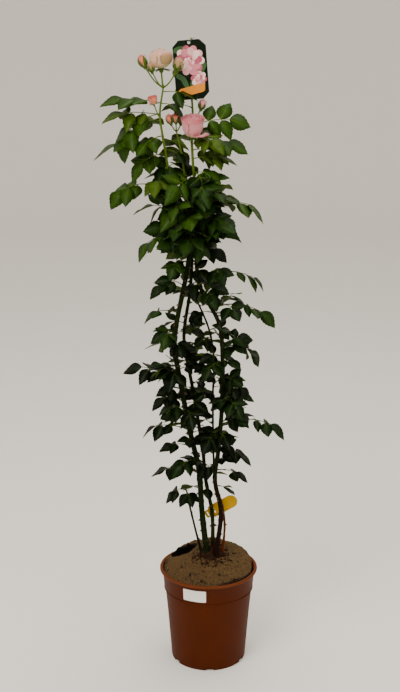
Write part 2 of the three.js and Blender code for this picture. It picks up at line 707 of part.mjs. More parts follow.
// The yellow tag: a rounded strip with a clip that holds it behind the back cane
function addYellowTag() {
  const { length, width, thickness, slant, height } = yellowTag;
  const [x, y, r] = facetedCaneAt(canes.back, height);
  const round = width / 2;
  const outline = new THREE.Shape();
  outline.absarc(length - 2 * round, 0, round, -Math.PI / 2, Math.PI / 2, false);
  outline.absarc(0, 0, round, Math.PI / 2, Math.PI * 1.5, false);
  const strip = new THREE.ExtrudeGeometry(outline, { depth: thickness, bevelEnabled: false, curveSegments: 6 });
  strip.rotateX(Math.PI / 2);
  strip.rotateY(radians(-slant));
  const inner = r + 1.4 * CLEAR;
  strip.translate(x - 1, y + inner + yellowTag.clipWall + thickness / 2, height - 4);

  const clip = new THREE.Shape();
  clip.absarc(0, 0, inner + yellowTag.clipWall, radians(-20), radians(200), false);
  clip.absarc(0, 0, inner, radians(200), radians(-20), true);
  const hook = new THREE.ExtrudeGeometry(clip, {
    depth: yellowTag.clip, bevelEnabled: false, curveSegments: 8,
  });
  hook.translate(0, 0, -yellowTag.clip / 2);
  const [xAbove, yAbove] = facetedCaneAt(canes.back, height + 10);
  hook.applyQuaternion(new THREE.Quaternion().setFromUnitVectors(
    up, vec(xAbove - x, yAbove - y, 10).normalize(),
  ));
  hook.translate(x, y, height);
  const body = keepClear('yellow_tag', wholeBody(solid(strip).add(solid(hook))));
  group.add(node('yellow_tag', geometryOf(body), finishes.yellowPlastic));
}

// The pot's label is bent round the collar, just clear of it
function addLabel() {
  const { from, to, low, high, thickness } = label;
  const plate = new THREE.BoxGeometry(1, 1, 1, 8, 1, 1);
  const collarRadius = potBaseRadius + potTaper * collarFoot + collarStep;
  const place = plate.attributes.position;
  for (let i = 0; i < place.count; i++) {
    const turn = radians(from + (place.getX(i) + 0.5) * (to - from));
    const z = low + (place.getY(i) + 0.5) * (high - low);
    const wall = collarRadius + collarFlare * (z - collarFoot) + CLEAR;
    const r = wall + (place.getZ(i) + 0.5) * thickness;
    place.setXYZ(i, r * Math.cos(turn), r * Math.sin(turn), z);
  }
  const merged = mergeVertices(bareGeometry(plate), 1e-4);
  group.add(node('pot_label', merged, finishes.whitePaper));
}

addPot();
addCanes();
addPictureTag();
addYellowTag();
addShoots();
addSprays();
addLabel();

export default group;
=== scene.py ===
# A rose bush in its nursery pot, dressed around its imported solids: barked canes with
# prickles, seeded sprays of toothed leaflets, petalled blooms and buds, a mat of coconut
# fibre, and a moulded pot.
# Sizes are in millimetres and become metres where a mesh is made. Turns are degrees seen
# from above: 0 is right (+X), 90 is back, 180 is left and -90 is front.

import math

import bmesh
import bpy
import numpy as np
from mathutils import Matrix, Vector, noise


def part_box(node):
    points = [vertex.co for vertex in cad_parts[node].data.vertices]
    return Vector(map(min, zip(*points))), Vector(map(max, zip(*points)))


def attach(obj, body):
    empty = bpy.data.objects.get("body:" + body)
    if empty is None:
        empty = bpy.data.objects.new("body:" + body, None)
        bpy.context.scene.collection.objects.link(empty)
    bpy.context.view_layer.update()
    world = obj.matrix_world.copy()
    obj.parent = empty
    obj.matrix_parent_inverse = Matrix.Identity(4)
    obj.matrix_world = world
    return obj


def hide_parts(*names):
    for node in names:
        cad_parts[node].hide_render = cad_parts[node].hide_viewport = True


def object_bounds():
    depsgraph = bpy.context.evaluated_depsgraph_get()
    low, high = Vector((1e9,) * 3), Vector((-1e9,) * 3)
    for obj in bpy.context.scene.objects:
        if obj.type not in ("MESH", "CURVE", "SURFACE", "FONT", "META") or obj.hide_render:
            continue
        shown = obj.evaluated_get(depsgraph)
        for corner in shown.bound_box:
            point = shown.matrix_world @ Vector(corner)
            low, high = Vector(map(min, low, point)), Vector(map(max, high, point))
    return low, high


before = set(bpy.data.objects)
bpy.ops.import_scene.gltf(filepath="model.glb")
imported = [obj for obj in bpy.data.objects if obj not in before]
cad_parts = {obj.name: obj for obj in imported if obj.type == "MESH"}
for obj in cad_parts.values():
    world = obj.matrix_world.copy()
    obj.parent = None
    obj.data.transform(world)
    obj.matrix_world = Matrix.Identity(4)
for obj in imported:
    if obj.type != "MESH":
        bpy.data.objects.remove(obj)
cad_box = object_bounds()

MM = 0.001
UP = Vector((0, 0, 1))
radians = math.radians

# The camera's place in metres, and how many degrees it looks down
CAMERA_PLACE = (-0.0197, -2.456, 1.4)
LOOK_DOWN = 14.86


def linked(name, data):
    """A new object in the scene, at the origin."""
    made = bpy.data.objects.new(name, data)
    bpy.context.scene.collection.objects.link(made)
    return made


def add_camera():
    """The photograph's view, from a little above the blooms."""
    lens = bpy.data.cameras.new("camera")
    lens.lens = 60.07
    lens.sensor_width = 36
    camera = linked("camera", lens)
    camera.location = CAMERA_PLACE
    camera.rotation_euler = (radians(90 - LOOK_DOWN), 0, 0)
    bpy.context.scene.camera = camera


add_camera()

# Sizes of the pot and its filling
POT_HEIGHT = 223.6
POT_BASE_RADIUS = 85.8
POT_TAPER = 0.078
POT_WALL = 2
POT_FLOOR = 3
COLLAR_FOOT = 172
COLLAR_STEP = 3
COLLAR_FLARE = 0.09
LIP_RADIUS = 112.5
LIP_HEIGHT = 7.5
DRAIN_COUNT = 6
DRAIN_FIRST_TURN = -88
DRAIN_WIDTH = 18
DRAIN_HEIGHT = 6
DRAIN_DEPTH = 13
SOIL_TOP = 204
MAT_EDGE = 216
MAT_RADIUS = 101.6
SLIT = {"x": -56, "y": 51, "turn": 35, "half_length": 30, "half_width": 22}
# Small holes in the mat: x, y and size
MAT_DIPS = [(-4, -28, 7), (-16, -84, 5), (40, -34, 4), (58, 22, 5), (-34, -22, 4), (-12, -56, 4),
            (66, -8, 4), (24, -66, 4), (-62, -28, 4), (-44, -64, 4)]
FIBRE_COUNT = 7800
FIBRE_RADIUS = 0.38
CRUMB_COUNT = 420
# A label on the collar, between two turns and two heights
LABEL = {"from": -123, "to": -93.5, "low": 180.5, "high": 208.5, "thickness": 0.5}

# Sizes of the tags
CARD = {"width": 69, "height": 120, "chamfer": 13, "thickness": 0.8, "hole": 3.2,
        "hole_drop": 5.4, "lean": 4.5, "place": (-38.5, -9.6, 1340)}
TIE = {"radius": 8, "wire": 0.7, "roll": 37}
YELLOW = {"length": 82, "width": 31, "thickness": 0.8, "slant": 30, "height": 352,
          "clip": 9, "clip_wall": 1.2}
CLIP_SPARE = 0.5

# Sizes of the compound leaves. A leaf shorter than SMALL_LEAF has three leaflets, and a longer
# one five. Those above UPPER_FROM are larger by UPPER_GROWTH. The leaves that only this script
# grows hang by FINE_SLACK of what the solids' leaves do.
LEAF_SPAN = 112
LEAST_SPAN = 72
SMALL_LEAF = 84
LEAFLET_LEAST = 20
LEAFLET_SHARE = 0.22
LEAFLET_WIDTH = 0.72
LEAFLET_STALK = 1.5
UPPER_FROM = 950
UPPER_GROWTH = 1.1
FINE_SLACK = 0.4
LIMB_CLEAR = 1.6
# How far along its stalk each leaflet sits, on which side, and its share of the blade's length
LEAFLET_PLACES = [(0.42, 1, 0.8), (0.46, -1, 0.8), (0.76, 1, 0.95), (0.8, -1, 0.95), (0.995, 0, 1.05)]

# Canes by height: z, x, y and radius where the line bends
CANES = {
    "left": [
        (262, -5, -4, 7.4), (368, -16, -5, 6.6), (460, -22, -8, 6.3), (553, -42, -10, 6.1),
        (670, -63, -12, 5.9), (751, -76, -12, 5.7), (796, -72, -12, 5.6), (918, -48, -11, 5.3),
        (984, -41, -10, 5.0), (1040, -47, -9, 4.6), (1091, -73, -9, 4.1),
    ],
    "back": [
        (264, 10, 9, 5.0), (348, 8, 12, 4.5), (430, -7, 16, 4.4), (494, -13, 20, 4.3),
        (624, -33, 26, 4.1), (739, -53, 26, 4.0), (776, -55, 24, 3.9), (874, -41, 14, 3.8),
        (962, -37, 10, 3.7), (1049, -41, 9, 3.5), (1119, -51, 8, 3.2),
    ],
    "right": [
        (262, 18, -7, 6.0), (360, 28, -9, 5.4), (438, 14, -9, 5.2), (506, 21, -14, 5.1),
        (624, 29, -22, 5.0), (739, 29, -22, 4.8), (803, 22, -16, 4.7), (885, -20, -9, 4.5),
        (962, -28, -5, 4.3), (1038, -28, -4, 4.0), (1112, -32, -3, 3.5),
    ],
    "thin": [
        (258, 33, 5, 3.0), (319, 37, 10, 2.7), (367, 31, 13, 2.7), (414, 17, 15, 2.6),
        (458, 12, 14, 2.6), (624, 9, 10, 2.5), (716, 11, 8, 2.4), (785, 0, 5, 2.3),
        (852, -27, 4, 2.0),
    ],
    "short": [
        (262, -17, -5, 3.2), (303, -27, -9, 2.6), (381, -44, -15, 2.4), (409, -49, -17, 2.0),
    ],
}

# Side sprays by the side that they grow to: cane, height, turn, reach, rise, arch, leaves
SPRAY_ROWS = {
    "left": [
        ("left", 1072, 182, 160, -16, 42, 3), ("left", 1004, 186, 132, -70, 26, 2),
        ("left", 878, 188, 62, 2, 12, 1), ("left", 826, 168, 54, -12, 10, 1),
        ("left", 664, 180, 126, 42, 14, 3), ("left", 622, 190, 76, 8, 14, 1),
        ("left", 556, 178, 104, 2, 12, 2), ("left", 516, 200, 60, 10, 8, 1),
        ("left", 452, 184, 106, 12, 12, 2),
    ],
    "right": [
        ("right", 1040, -6, 146, 4, 26, 3), ("right", 905, 2, 158, -30, 26, 2),
        ("right", 836, -8, 144, -24, 22, 2), ("right", 748, -4, 96, -70, 34, 2),
        ("right", 668, 4, 64, -42, 16, 1), ("right", 572, -2, 146, -12, 20, 3),
        ("right", 508, -24, 52, -10, 10, 1), ("right", 462, -10, 40, -16, 8, 1),
    ],
    "front": [
        ("right", 1084, -72, 92, 2, 20, 3), ("left", 1050, -108, 92, 2, 18, 2),
        ("right", 976, -84, 84, -16, 18, 2), ("left", 936, -124, 80, -12, 14, 1),
        ("right", 868, -76, 84, -8, 16, 2), ("left", 778, -110, 78, 2, 14, 1),
        ("right", 712, -112, 92, -14, 20, 2), ("left", 690, -96, 88, -6, 16, 2),
        ("right", 628, -62, 88, -10, 16, 2), ("left", 602, -82, 92, -6, 16, 2),
        ("right", 548, -118, 84, -8, 12, 2), ("left", 486, -118, 66, -4, 10, 1),
    ],
    "back": [
        ("back", 1092, 70, 92, 0, 20, 2), ("back", 1030, 118, 92, -6, 18, 2),
        ("back", 966, 62, 88, -14, 18, 2), ("back", 902, 128, 80, -6, 14, 1),
        ("back", 846, 84, 84, -10, 14, 2), ("back", 772, 72, 76, -4, 14, 1),
        ("back", 716, 104, 92, -14, 18, 2), ("thin", 656, 44, 92, -10, 18, 2),
        ("back", 618, 84, 88, -4, 16, 2), ("back", 556, 118, 84, -6, 14, 1),
        ("thin", 510, 58, 76, -4, 10, 1),
    ],
}
SPRAYS = [(f"leaves_{side}_{k}", *row) for side, rows in SPRAY_ROWS.items()
          for k, row in enumerate(rows, 1)]

# Shoots that carry on from a cane's tip: the stem's path; its leaves as height, turn, span,
# pitch and droop; its blooms as place, radius, form, turn and colouring; and its buds as place,
# radius, the height where the stalk leaves the stem, and colouring. The solids have the leaves
# too, with the fourth of flowers_left set lower, and "more" are grown only here.
SHOOTS = [
    {
        "name": "flowers_left", "cane": "left", "girth": 3.4,
        "path": [
            (-86, -10, 1123), (-91, -12, 1165), (-98, -13, 1207), (-103, -14, 1252), (-96, -14, 1303),
        ],
        "leaves": [
            (1250, 181, 124, 8, 14), (1193, 177, 148, 4, 16), (1206, 222, 84, -4, 30),
            (1272, -12, 62, 8, 50), (1296, -14, 74, 4, 12), (1150, 128, 108, 14, 34),
        ],
        "more": [
            (1273, 174, 124, 13, 20), (1252, 196, 146, -4, 84), (1236, 130, 84, 10, 36),
            (1196, 60, 80, 10, 50), (1170, 204, 96, 2, 60), (1178, 18, 70, -6, 40),
        ],
        "blooms": [
            (-101, -16, 1363, 24.5, "globe", -30, "peach"),
            (-117, -20, 1280, 10.5, "goblet", 150, "coral"),
        ],
        "buds": [
            (-138, -10, 1358, 10.5, 1303, "coral"), (-120, -26, 1346, 8.5, 1303, "faded"),
            (-64, -27, 1352, 11.5, 1303, "faded"), (-70, -8, 1336, 6.5, 1303, "coral"),
        ],
    },
    {
        "name": "flowers_middle", "cane": "back", "girth": 2.8,
        "path": [(-59, 6, 1170), (-69, 1, 1213)],
        "leaves": [(1165, 96, 104, 16, 36), (1196, 70, 84, 22, 30)],
        "more": [(1150, 206, 82, 2, 50)],
        "blooms": [],
        "buds": [
            (-83, -6, 1240, 8.5, 1213, "coral"), (-70, -20, 1243, 8.5, 1213, "coral"),
            (-59, -4, 1239, 8, 1213, "coral"),
        ],
    },
    {
        "name": "flowers_right", "cane": "right", "girth": 3,
        "path": [(-37, -2, 1196), (-35, -1, 1254), (-40, 0.4, 1330), (-38, 0.4, 1404)],
        "leaves": [
            (1188, -3, 122, 14, 28), (1158, -10, 98, 12, 26), (1128, -38, 66, 16, 30),
            (1215, 64, 100, 14, 34), (1262, 150, 70, 24, 30),
        ],
        "more": [
            (1226, -4, 126, 22, 36), (1206, -34, 92, 6, 34), (1176, 30, 92, 8, 40),
            (1140, 110, 84, 12, 44), (1130, -60, 80, 0, 60), (1118, -118, 108, 6, 44),
            (1106, -72, 104, 4, 46),
        ],
        "blooms": [(-35, -31, 1228, 25, "goblet", -38, "pink")],
        "buds": [(-15, 2, 1270, 9, 1236, "pink")],
    },
    {
        "name": "leaves_thin_tip", "cane": "thin", "girth": 1.8,
        "path": [(-34, 4, 868), (-38, 6, 886)],
        "leaves": [(886, 20, 82, 24, 40), (872, 92, 78, 14, 30)],
        "more": [], "blooms": [], "buds": [],
    },
    {
        "name": "leaves_short_tip", "cane": "short", "girth": 1.8,
        "path": [(-52, -19, 424)],
        "leaves": [(424, 176, 62, -14, 30), (418, -80, 62, 6, 30)],
        "more": [], "blooms": [], "buds": [],
    },
]

# The petals of a flower in layers from the outside in: how many, reach and height in units of
# its radius, the angle that they close to, how far they draw in above their widest, how far
# their rims turn out, the half turn that a petal wraps, and a colouring of their own
FLOWERS = {
    "globe": [
        # The outermost petal takes the greener, duller colouring: a green tinge and painted shade, for its
        # shaded side
        (1, 1.0, 0.76, 40, 0.8, 0.09, 60, "faded"), (4, 0.92, 0.81, 47, 0.8, 0.08, 62, None),
        (4, 0.82, 0.85, 55, 0.8, 0.07, 60, None), (5, 0.70, 0.86, 61, 0.8, 0.05, 52, None),
        (5, 0.55, 0.87, 65, 0.8, 0.04, 50, None), (5, 0.38, 0.87, 68, 0.9, 0.03, 52, None),
        (3, 0.2, 0.86, 71, 1, 0.02, 66, None),
    ],
    "goblet": [
        (1, 1.12, 1.0, -26, 1, 0.5, 46, None), (4, 0.86, 0.98, 48, -0.35, 0.11, 58, None),
        (4, 0.75, 1.0, 55, -0.22, 0.07, 56, None), (5, 0.63, 0.99, 60, -0.05, 0.05, 50, None),
        (5, 0.49, 0.97, 63, 0.2, 0.04, 48, None), (5, 0.33, 0.94, 66, 0.5, 0.03, 50, None),
        (3, 0.18, 0.9, 68, 0.8, 0.02, 62, None),
    ],
    "bud": [(4, 0.84, 1.2, 60, 1, 0.05, 62, None), (3, 0.6, 1.3, 66, 1, 0.03, 74, None),
            (2, 0.3, 1.36, 72, 1, 0.02, 95, None)],
}

# Spur leaves that stand on the canes between the sprays: cane, lowest and highest root,
# how many, and shortest and longest span. They are thickest under the blooms.
SPURS = [
    ("left", 966, 1050, 10, 78, 118), ("right", 966, 1052, 11, 78, 118), ("back", 966, 1050, 10, 74, 108),
    ("left", 880, 950, 2, 60, 74), ("right", 860, 950, 3, 60, 84), ("back", 850, 940, 3, 60, 80),
    ("left", 710, 800, 5, 54, 80), ("right", 700, 840, 7, 56, 82), ("back", 710, 830, 5, 56, 78),
    ("thin", 700, 790, 5, 50, 72),
    ("left", 520, 700, 7, 50, 76), ("right", 520, 700, 9, 50, 78), ("back", 500, 700, 7, 52, 78),
    ("thin", 480, 700, 9, 50, 74),
    ("left", 400, 515, 2, 44, 56), ("right", 440, 520, 2, 44, 56), ("back", 400, 500, 3, 44, 56),
    ("thin", 400, 480, 1, 42, 54),
]


def seeded(seed):
    """Repeatable numbers between 0 and 1, drawn by the same rule as the solids' leaves."""
    multiplier, modulus = 16807, 2147483647
    state = seed * 7919 + 1013

    def draw():
        nonlocal state
        state = state * multiplier % modulus
        return state / modulus

    draw()
    draw()
    return draw


# Materials

def linear(colour):
    """An sRGB hex colour as linear light."""
    parts = [int(colour[i:i + 2], 16) / 255 for i in (1, 3, 5)]
    return (*[c / 12.92 if c <= 0.04045 else ((c + 0.055) / 1.055) ** 2.4 for c in parts], 1)


def new_finish(name, colour, roughness, **shader_values):
    """A material named for what the real surface is, with its even values set."""
    material = bpy.data.materials.new(name)
    material.use_nodes = True
    shader = material.node_tree.nodes["Principled BSDF"]
    shader.inputs["Base Color"].default_value = linear(colour)
    shader.inputs["Roughness"].default_value = roughness
    for key, value in shader_values.items():
        shader.inputs[key.replace("_", " ")].default_value = value
    return material


def add_node(material, kind, inputs=None, stops=None, feeds=None, **settings):
    """Adds one node. An input given as (node, output) is linked and any other is set. Stops
    are a ramp's places and colours, and feeds is the shader's input that it goes to."""
    tree = material.node_tree
    made = tree.nodes.new(kind)
    for key, value in settings.items():
        setattr(made, key, value)
    for key, value in (inputs or {}).items():
        if isinstance(value, tuple) and isinstance(value[0], bpy.types.Node):
            tree.links.new(value[0].outputs[value[1]], made.inputs[key])
        else:
            made.inputs[key].default_value = value
    if stops:
        ramp = made.color_ramp
        while len(ramp.elements) < len(stops):
            ramp.elements.new(1)
        for element, (place, colour) in zip(ramp.elements, stops):
            element.position = place
            element.color = linear(colour)
    if feeds:
        tree.links.new(made.outputs[0], tree.nodes["Principled BSDF"].inputs[feeds])
    return made


# Patterns by how many there are to a metre. Bark's streaks and pores and the moulded grain are
# finer in life and are drawn about twice as coarse, so that they show.
BARK_STREAKS = 260
BARK_PORES = 420
FLOW_MARKS = 25
MOULD_GRAIN = 900


def bark_finish(name, foot, low, high, from_z, to_z):
    """Rose bark: skin that changes with age from the foot up, streaked along the cane, with
    pale raised pores about 1.5 mm long."""
    bark = new_finish(name, high, 0.6, Specular_IOR_Level=0.04)
    place = add_node(bark, "ShaderNodeTexCoord")
    split = add_node(bark, "ShaderNodeSeparateXYZ", {"Vector": (place, "Object")})
    long_way = add_node(bark, "ShaderNodeMapping", {"Vector": (place, "Object"), "Scale": (1, 1, 0.16)})
    streaks = add_node(bark, "ShaderNodeTexNoise",
                       {"Vector": (long_way, "Vector"), "Scale": BARK_STREAKS, "Detail": 4})
    rise = add_node(bark, "ShaderNodeMapRange",
                    {"Value": (split, "Z"), "From Min": from_z * MM, "From Max": to_z * MM})
    age = add_node(bark, "ShaderNodeMath", {0: (streaks, "Fac"), 1: 0.9, 2: (rise, 0)},
                   operation="MULTIPLY_ADD")
    skin = add_node(bark, "ShaderNodeValToRGB", {"Fac": (age, 0)},
                    stops=[(0.4, foot), (0.85, low), (1, high)])
    dots = add_node(bark, "ShaderNodeMapping", {"Vector": (place, "Object"), "Scale": (1, 1, 0.4)})
    pores = add_node(bark, "ShaderNodeTexVoronoi", {"Vector": (dots, "Vector"), "Scale": BARK_PORES})
    pore = add_node(bark, "ShaderNodeMapRange",
                    {"Value": (pores, "Distance"), "From Min": 0.1, "From Max": 0.18,
                     "To Min": 0.35, "To Max": 0})
    add_node(bark, "ShaderNodeMixRGB",
             {"Fac": (pore, 0), "Color1": (skin, "Color"), "Color2": linear("#45452a")}, feeds="Base Color")
    relief = add_node(bark, "ShaderNodeMath", {0: (streaks, "Fac"), 1: (pore, 0)}, operation="ADD")
    add_node(bark, "ShaderNodeBump", {"Height": (relief, 0), "Strength": 0.6, "Distance": 0.4 * MM},
             feeds="Normal")
    return bark


def mottled_finish(name, colours, size, roughness, depth, strength=0.5, **shader_values):
    """A natural surface: grains of a size in millimetres, in colours from dark to light,
    standing out by depth."""
    surface = new_finish(name, colours[-1], roughness, **shader_values)
    place = add_node(surface, "ShaderNodeTexCoord")
    grain = add_node(surface, "ShaderNodeTexNoise",
                     {"Vector": (place, "Object"), "Scale": 1 / (size * MM), "Detail": 6, "Roughness": 0.6})
    stops = [(0.3 + 0.4 * i / (len(colours) - 1), colour) for i, colour in enumerate(colours)]
    add_node(surface, "ShaderNodeValToRGB", {"Fac": (grain, "Fac")}, stops=stops, feeds="Base Color")
    add_node(surface, "ShaderNodeBump",
             {"Height": (grain, "Fac"), "Strength": strength, "Distance": depth * MM}, feeds="Normal")
    return surface


def moulded_finish(name, dark, light, roughness, haze):
    """A moulded or rolled plastic: even colour with faint cloudy flow marks about 40 mm across,
    a fine grain, and dust that dulls it in patches."""
    plastic = new_finish(name, light, roughness, Specular_IOR_Level=0.08)
    place = add_node(plastic, "ShaderNodeTexCoord")
    clouds = add_node(plastic, "ShaderNodeTexNoise",
                      {"Vector": (place, "Object"), "Scale": FLOW_MARKS, "Detail": 5})
    add_node(plastic, "ShaderNodeValToRGB", {"Fac": (clouds, "Fac")},
             stops=[(0.3, dark), (0.7, light)], feeds="Base Color")
    add_node(plastic, "ShaderNodeMapRange",
             {"Value": (clouds, "Fac"), "From Min": 0.3, "From Max": 0.7,
              "To Min": roughness - haze, "To Max": roughness + haze}, feeds="Roughness")
    grain = add_node(plastic, "ShaderNodeTexNoise",
                     {"Vector": (place, "Object"), "Scale": MOULD_GRAIN, "Detail": 2})
    add_node(plastic, "ShaderNodeBump", {"Height": (grain, "Fac"), "Strength": 0.12, "Distance": 0.2 * MM},
             feeds="Normal")
    return plastic


# Rose leaf: a thin waxed blade, so it has a soft sheen above and is paler and duller beneath.
# The greens are partly painted shade and light: they run from a painted deep shade low down and inside the
# bush to painted sunlit light, with the paler younger growth, high up and outside. Each is plain but for a
# faint mottle, and they are dealt out by leaf.
LEAF_KINDS = [
    ("deep", "#050c02", "#0b1a04"), ("shaded", "#0b1804", "#152b07"), ("mature_half_lit", "#142806", "#223c0a"),
    ("sunlit", "#203a07", "#324e0c"), ("young_fully_lit", "#30470b", "#465d10"),
]
FOLIAGE = [
    [mottled_finish(f"leaf_{name}{side}", colours, 9, roughness, 0.3, 0.3, Specular_IOR_Level=0.1)
     for side, colours, roughness in (("", [low, high], 0.4), ("_underside", ["#33430f", "#43551d"], 0.65))]
    for name, low, high in LEAF_KINDS
]
# Leaf veins: bare fibre under thin skin, so paler than the blade and dull
MIDRIB = mottled_finish("leaf_midrib", ["#4c6422", "#647c34"], 6, 0.5, 0.1)

# Rose petal: thin and matt with a velvety edge to the light, which seeps in and softens the
# folds. Each colouring is a petal's base, middle and rim.
PETALS = {
    name: [
        mottled_finish(f"petal_{name}_{place}", colours, 2.5, 0.62, 0.15, 0.3, Sheen_Weight=0.2,
                       Specular_IOR_Level=0.25, Subsurface_Weight=0.1, Subsurface_Scale=0.003)
        for place, colours in zip(("base", "middle", "rim"), bands)
    ]
    for name, bands in (
        ("peach", (["#ae9862", "#b9a36e"], ["#cba07e", "#d4ae90"], ["#c9937e", "#d29f8b"])),
        ("pink", (["#cfa286", "#d6ae93"], ["#cc8089", "#d68f95"], ["#c46a74", "#ce7a80"])),
        ("coral", (["#c79e6a", "#d0a976"], ["#cd745a", "#d8866a"], ["#b4443f", "#c2544c"])),
        # A greener, duller colouring: painted shade with a green tinge on the globe's outer petal, and a
        # green tinge on two buds
        ("faded", (["#716e34", "#7e7b40"], ["#9a7d50", "#a6895c"], ["#ad7458", "#b88064"])),
    )
}
# Sepals are small thick leaves: fresh green, with a soft sheen
SEPAL_GREEN = mottled_finish("sepal_green", ["#35500f", "#4f6a1b"], 4, 0.5, 0.2, Specular_IOR_Level=0.2)
# Young stems and leaf stalks have smooth green skin, lighter than the canes' bark
STEM_GREEN = bark_finish("young_stem_skin", "#34430f", "#475d16", "#587022", 1000, 1200)
TWIG_GREEN = mottled_finish("leaf_stalk_skin", ["#2a3c0c", "#3c5218"], 5, 0.5, 0.1)
# Cane bark is dark and dull in the shade of the leaves, and browner towards the foot
CANE_BARKS = {
    "left": bark_finish("left_cane_bark", "#1c2b08", "#0c1204", "#141e06", 236, 330),
    "back": bark_finish("back_cane_bark", "#241505", "#282b0a", "#181f08", 260, 420),
    "right": bark_finish("right_cane_bark", "#1c0c05", "#180f05", "#171e08", 300, 620),
    "thin": bark_finish("thin_cane_bark", "#642a0a", "#2e2108", "#1d2409", 300, 620),
    "short": bark_finish("short_cane_bark", "#10180a", "#0e1806", "#162409", 250, 400),
}
# Old corky bark is rough and furrowed, and takes the light without any shine
UNION_BARK = mottled_finish("union_bark", ["#120702", "#241106", "#3e2212"], 5, 0.9, 1.2, 0.9,
                            Specular_IOR_Level=0.15)
# Prickles are smooth brown horn
PRICKLE_HORN = mottled_finish("prickle_horn", ["#24120a", "#4c2c1a"], 2, 0.5, 0.1)
# Moist compost is nearly black and crumbly
COMPOST = mottled_finish("compost", ["#020101", "#070403", "#130c07"], 4, 0.95, 2, 1,
                         Specular_IOR_Level=0.1)
# Pressed coconut fibre is dull and lumpy, and its loose fibres are dry and matt, in three browns that are
# dealt out by tuft: partly their own tone at random, partly painted light on the tufts and painted shade in
# the hollows
COIR_FELT = mottled_finish("coir_felt", ["#0e0703", "#2c1c0b", "#4a3415"], 9, 0.95, 2, 1)
COIR_STRANDS = [
    mottled_finish(f"coir_{name}", colours, 3, 0.8, 0.1)
    for name, colours in (("pale", ["#57401b", "#6d5128"]), ("tan", ["#2c1c0a", "#3f290f"]),
                          ("brown", ["#090401", "#150b04"]))
]
# Moulded polypropylene with a satin skin. The top of the lip is painted lighter: painted light, where the
# light from above falls on it
POT_PLASTIC = moulded_finish("terracotta_polypropylene", "#431800", "#491b00", 0.55, 0.03)
PAINTED_LIP_LIGHT = moulded_finish("polypropylene_painted_lip_light", "#5a2a0e", "#653114", 0.5, 0.03)
# Laminated card: a smooth film over dark print, with a pale fibrous edge where it was cut
CARD_FACE = moulded_finish("laminated_card", "#0a120a", "#142014", 0.3, 0.04)
CARD_EDGE = mottled_finish("cut_card_edge", ["#cbc8be", "#dcd9d0"], 1.2, 0.7, 0.05)
# Printing ink under the film: flat colours, smooth as the card
CARD_INKS = [
    mottled_finish(f"print_{name}", [dark, light], 4, 0.35, 0.02, 0.1) for name, dark, light in (
        ("deep", "#a83f58", "#bd5a70"), ("rose", "#c66c7e", "#d6848f"), ("pale", "#dd9ca3", "#e6afb2"),
        ("blush", "#ecc5c0", "#f2d6cf"), ("leaf", "#1f4418", "#2f5a26"), ("amber", "#d07808", "#e08c16"))
]
# Flexible vinyl, dyed through, with a soft shine
YELLOW_VINYL = moulded_finish("yellow_vinyl", "#b68d00", "#c49900", 0.45, 0.04)
# Uncoated paper is white and matt
LABEL_PAPER = mottled_finish("label_paper", ["#e6e4df", "#f4f2ee"], 1.5, 0.6, 0.05, 0.2)
# Steel wire under a thin green coat has a soft metal glint
TIE_WIRE = mottled_finish("coated_tie_wire", ["#525d46", "#6a7459"], 1.5, 0.35, 0.02, Metallic=0.9)


# Meshes

def shown(name, mesh, materials, slot, *nodes, smooth=True):
    """A finished piece at the origin: it rides on the one body and stands for its nodes."""
    for material in materials:
        mesh.materials.append(material)
    mesh.polygons.foreach_set("use_smooth", [smooth] * len(mesh.polygons))
    mesh.update()
    piece = linked(name, mesh)
    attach(piece, "root")
    if nodes:
        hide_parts(*nodes)


def mesh_of(name, built):
    """A bmesh in millimetres becomes a mesh in metres."""
    bmesh.ops.scale(built, vec=(MM, MM, MM), verts=built.verts)
    mesh = bpy.data.meshes.new(name)
    built.to_mesh(mesh)
    built.free()
    return mesh


def outward(built):
    """The same form, with its faces turned to look outwards."""
    bmesh.ops.recalc_face_normals(built, faces=built.faces)
    return built


def lathed(profile, steps):
    """A profile of radii and heights, turned once round the axis."""
    built = bmesh.new()
    verts = [built.verts.new((r, 0, z)) for r, z in profile]
    edges = [built.edges.new(pair) for pair in zip(verts, verts[1:])]
    bmesh.ops.spin(built, geom=verts + edges, cent=(0, 0, 0), axis=(0, 0, 1), angle=2 * math.pi,
                   steps=steps, use_merge=True)
    bmesh.ops.remove_doubles(built, verts=built.verts, dist=1e-3)
    return built


def mesh_from(holder):
    """The mesh that an object makes once its modifiers are applied. The object goes."""
    ready = holder.evaluated_get(bpy.context.evaluated_depsgraph_get())
    mesh = bpy.data.meshes.new_from_object(ready)
    bpy.data.objects.remove(holder)
    return mesh


def worked(mesh, kind, **settings):
    """The mesh with one modifier applied."""
    holder = linked("form", mesh)
    modifier = holder.modifiers.new("work", kind)
    for key, value in settings.items():
        setattr(modifier, key, value)
    return mesh_from(holder)


def cut_by(mesh, cutters):
    """The mesh with every cutter's room taken out of it."""
    tool = linked("cutters", mesh_of("cutters", cutters))
    made = worked(mesh, "BOOLEAN", object=tool, operation="DIFFERENCE", solver="EXACT")
    bpy.data.objects.remove(tool)
    return made


def tube_mesh(name, strands, sides):
    """Round stems as one mesh. A strand is its points, their radii and its material's place."""
    curve = bpy.data.curves.new(name, "CURVE")
    curve.dimensions = "3D"
    curve.bevel_depth = MM
    curve.bevel_resolution = sides // 2 - 2
    curve.use_fill_caps = True
    for points, radii, finish in strands:
        spline = curve.splines.new("POLY")
        spline.points.add(len(points) - 1)
        spline.material_index = finish
        for at, point, radius in zip(spline.points, points, radii):
            at.co = (*(Vector(point) * MM), 1)
            at.radius = radius
    # Empty places keep each strand's number until the real materials come
    for _ in range(3):
        curve.materials.append(None)
    mesh = mesh_from(linked(name, curve))
    bpy.data.curves.remove(curve)
    mesh.materials.clear()
    return mesh


class Shape:
    """A small mesh as arrays, ready to be stamped many times."""

    def __init__(self, built):
        built.verts.index_update()
        self.points = np.array([vert.co for vert in built.verts])
        self.corners = np.array([vert.index for face in built.faces for vert in face.verts])
        self.sizes = np.array([len(face.verts) for face in built.faces])
        self.finishes = np.array([face.material_index for face in built.faces])
        built.free()


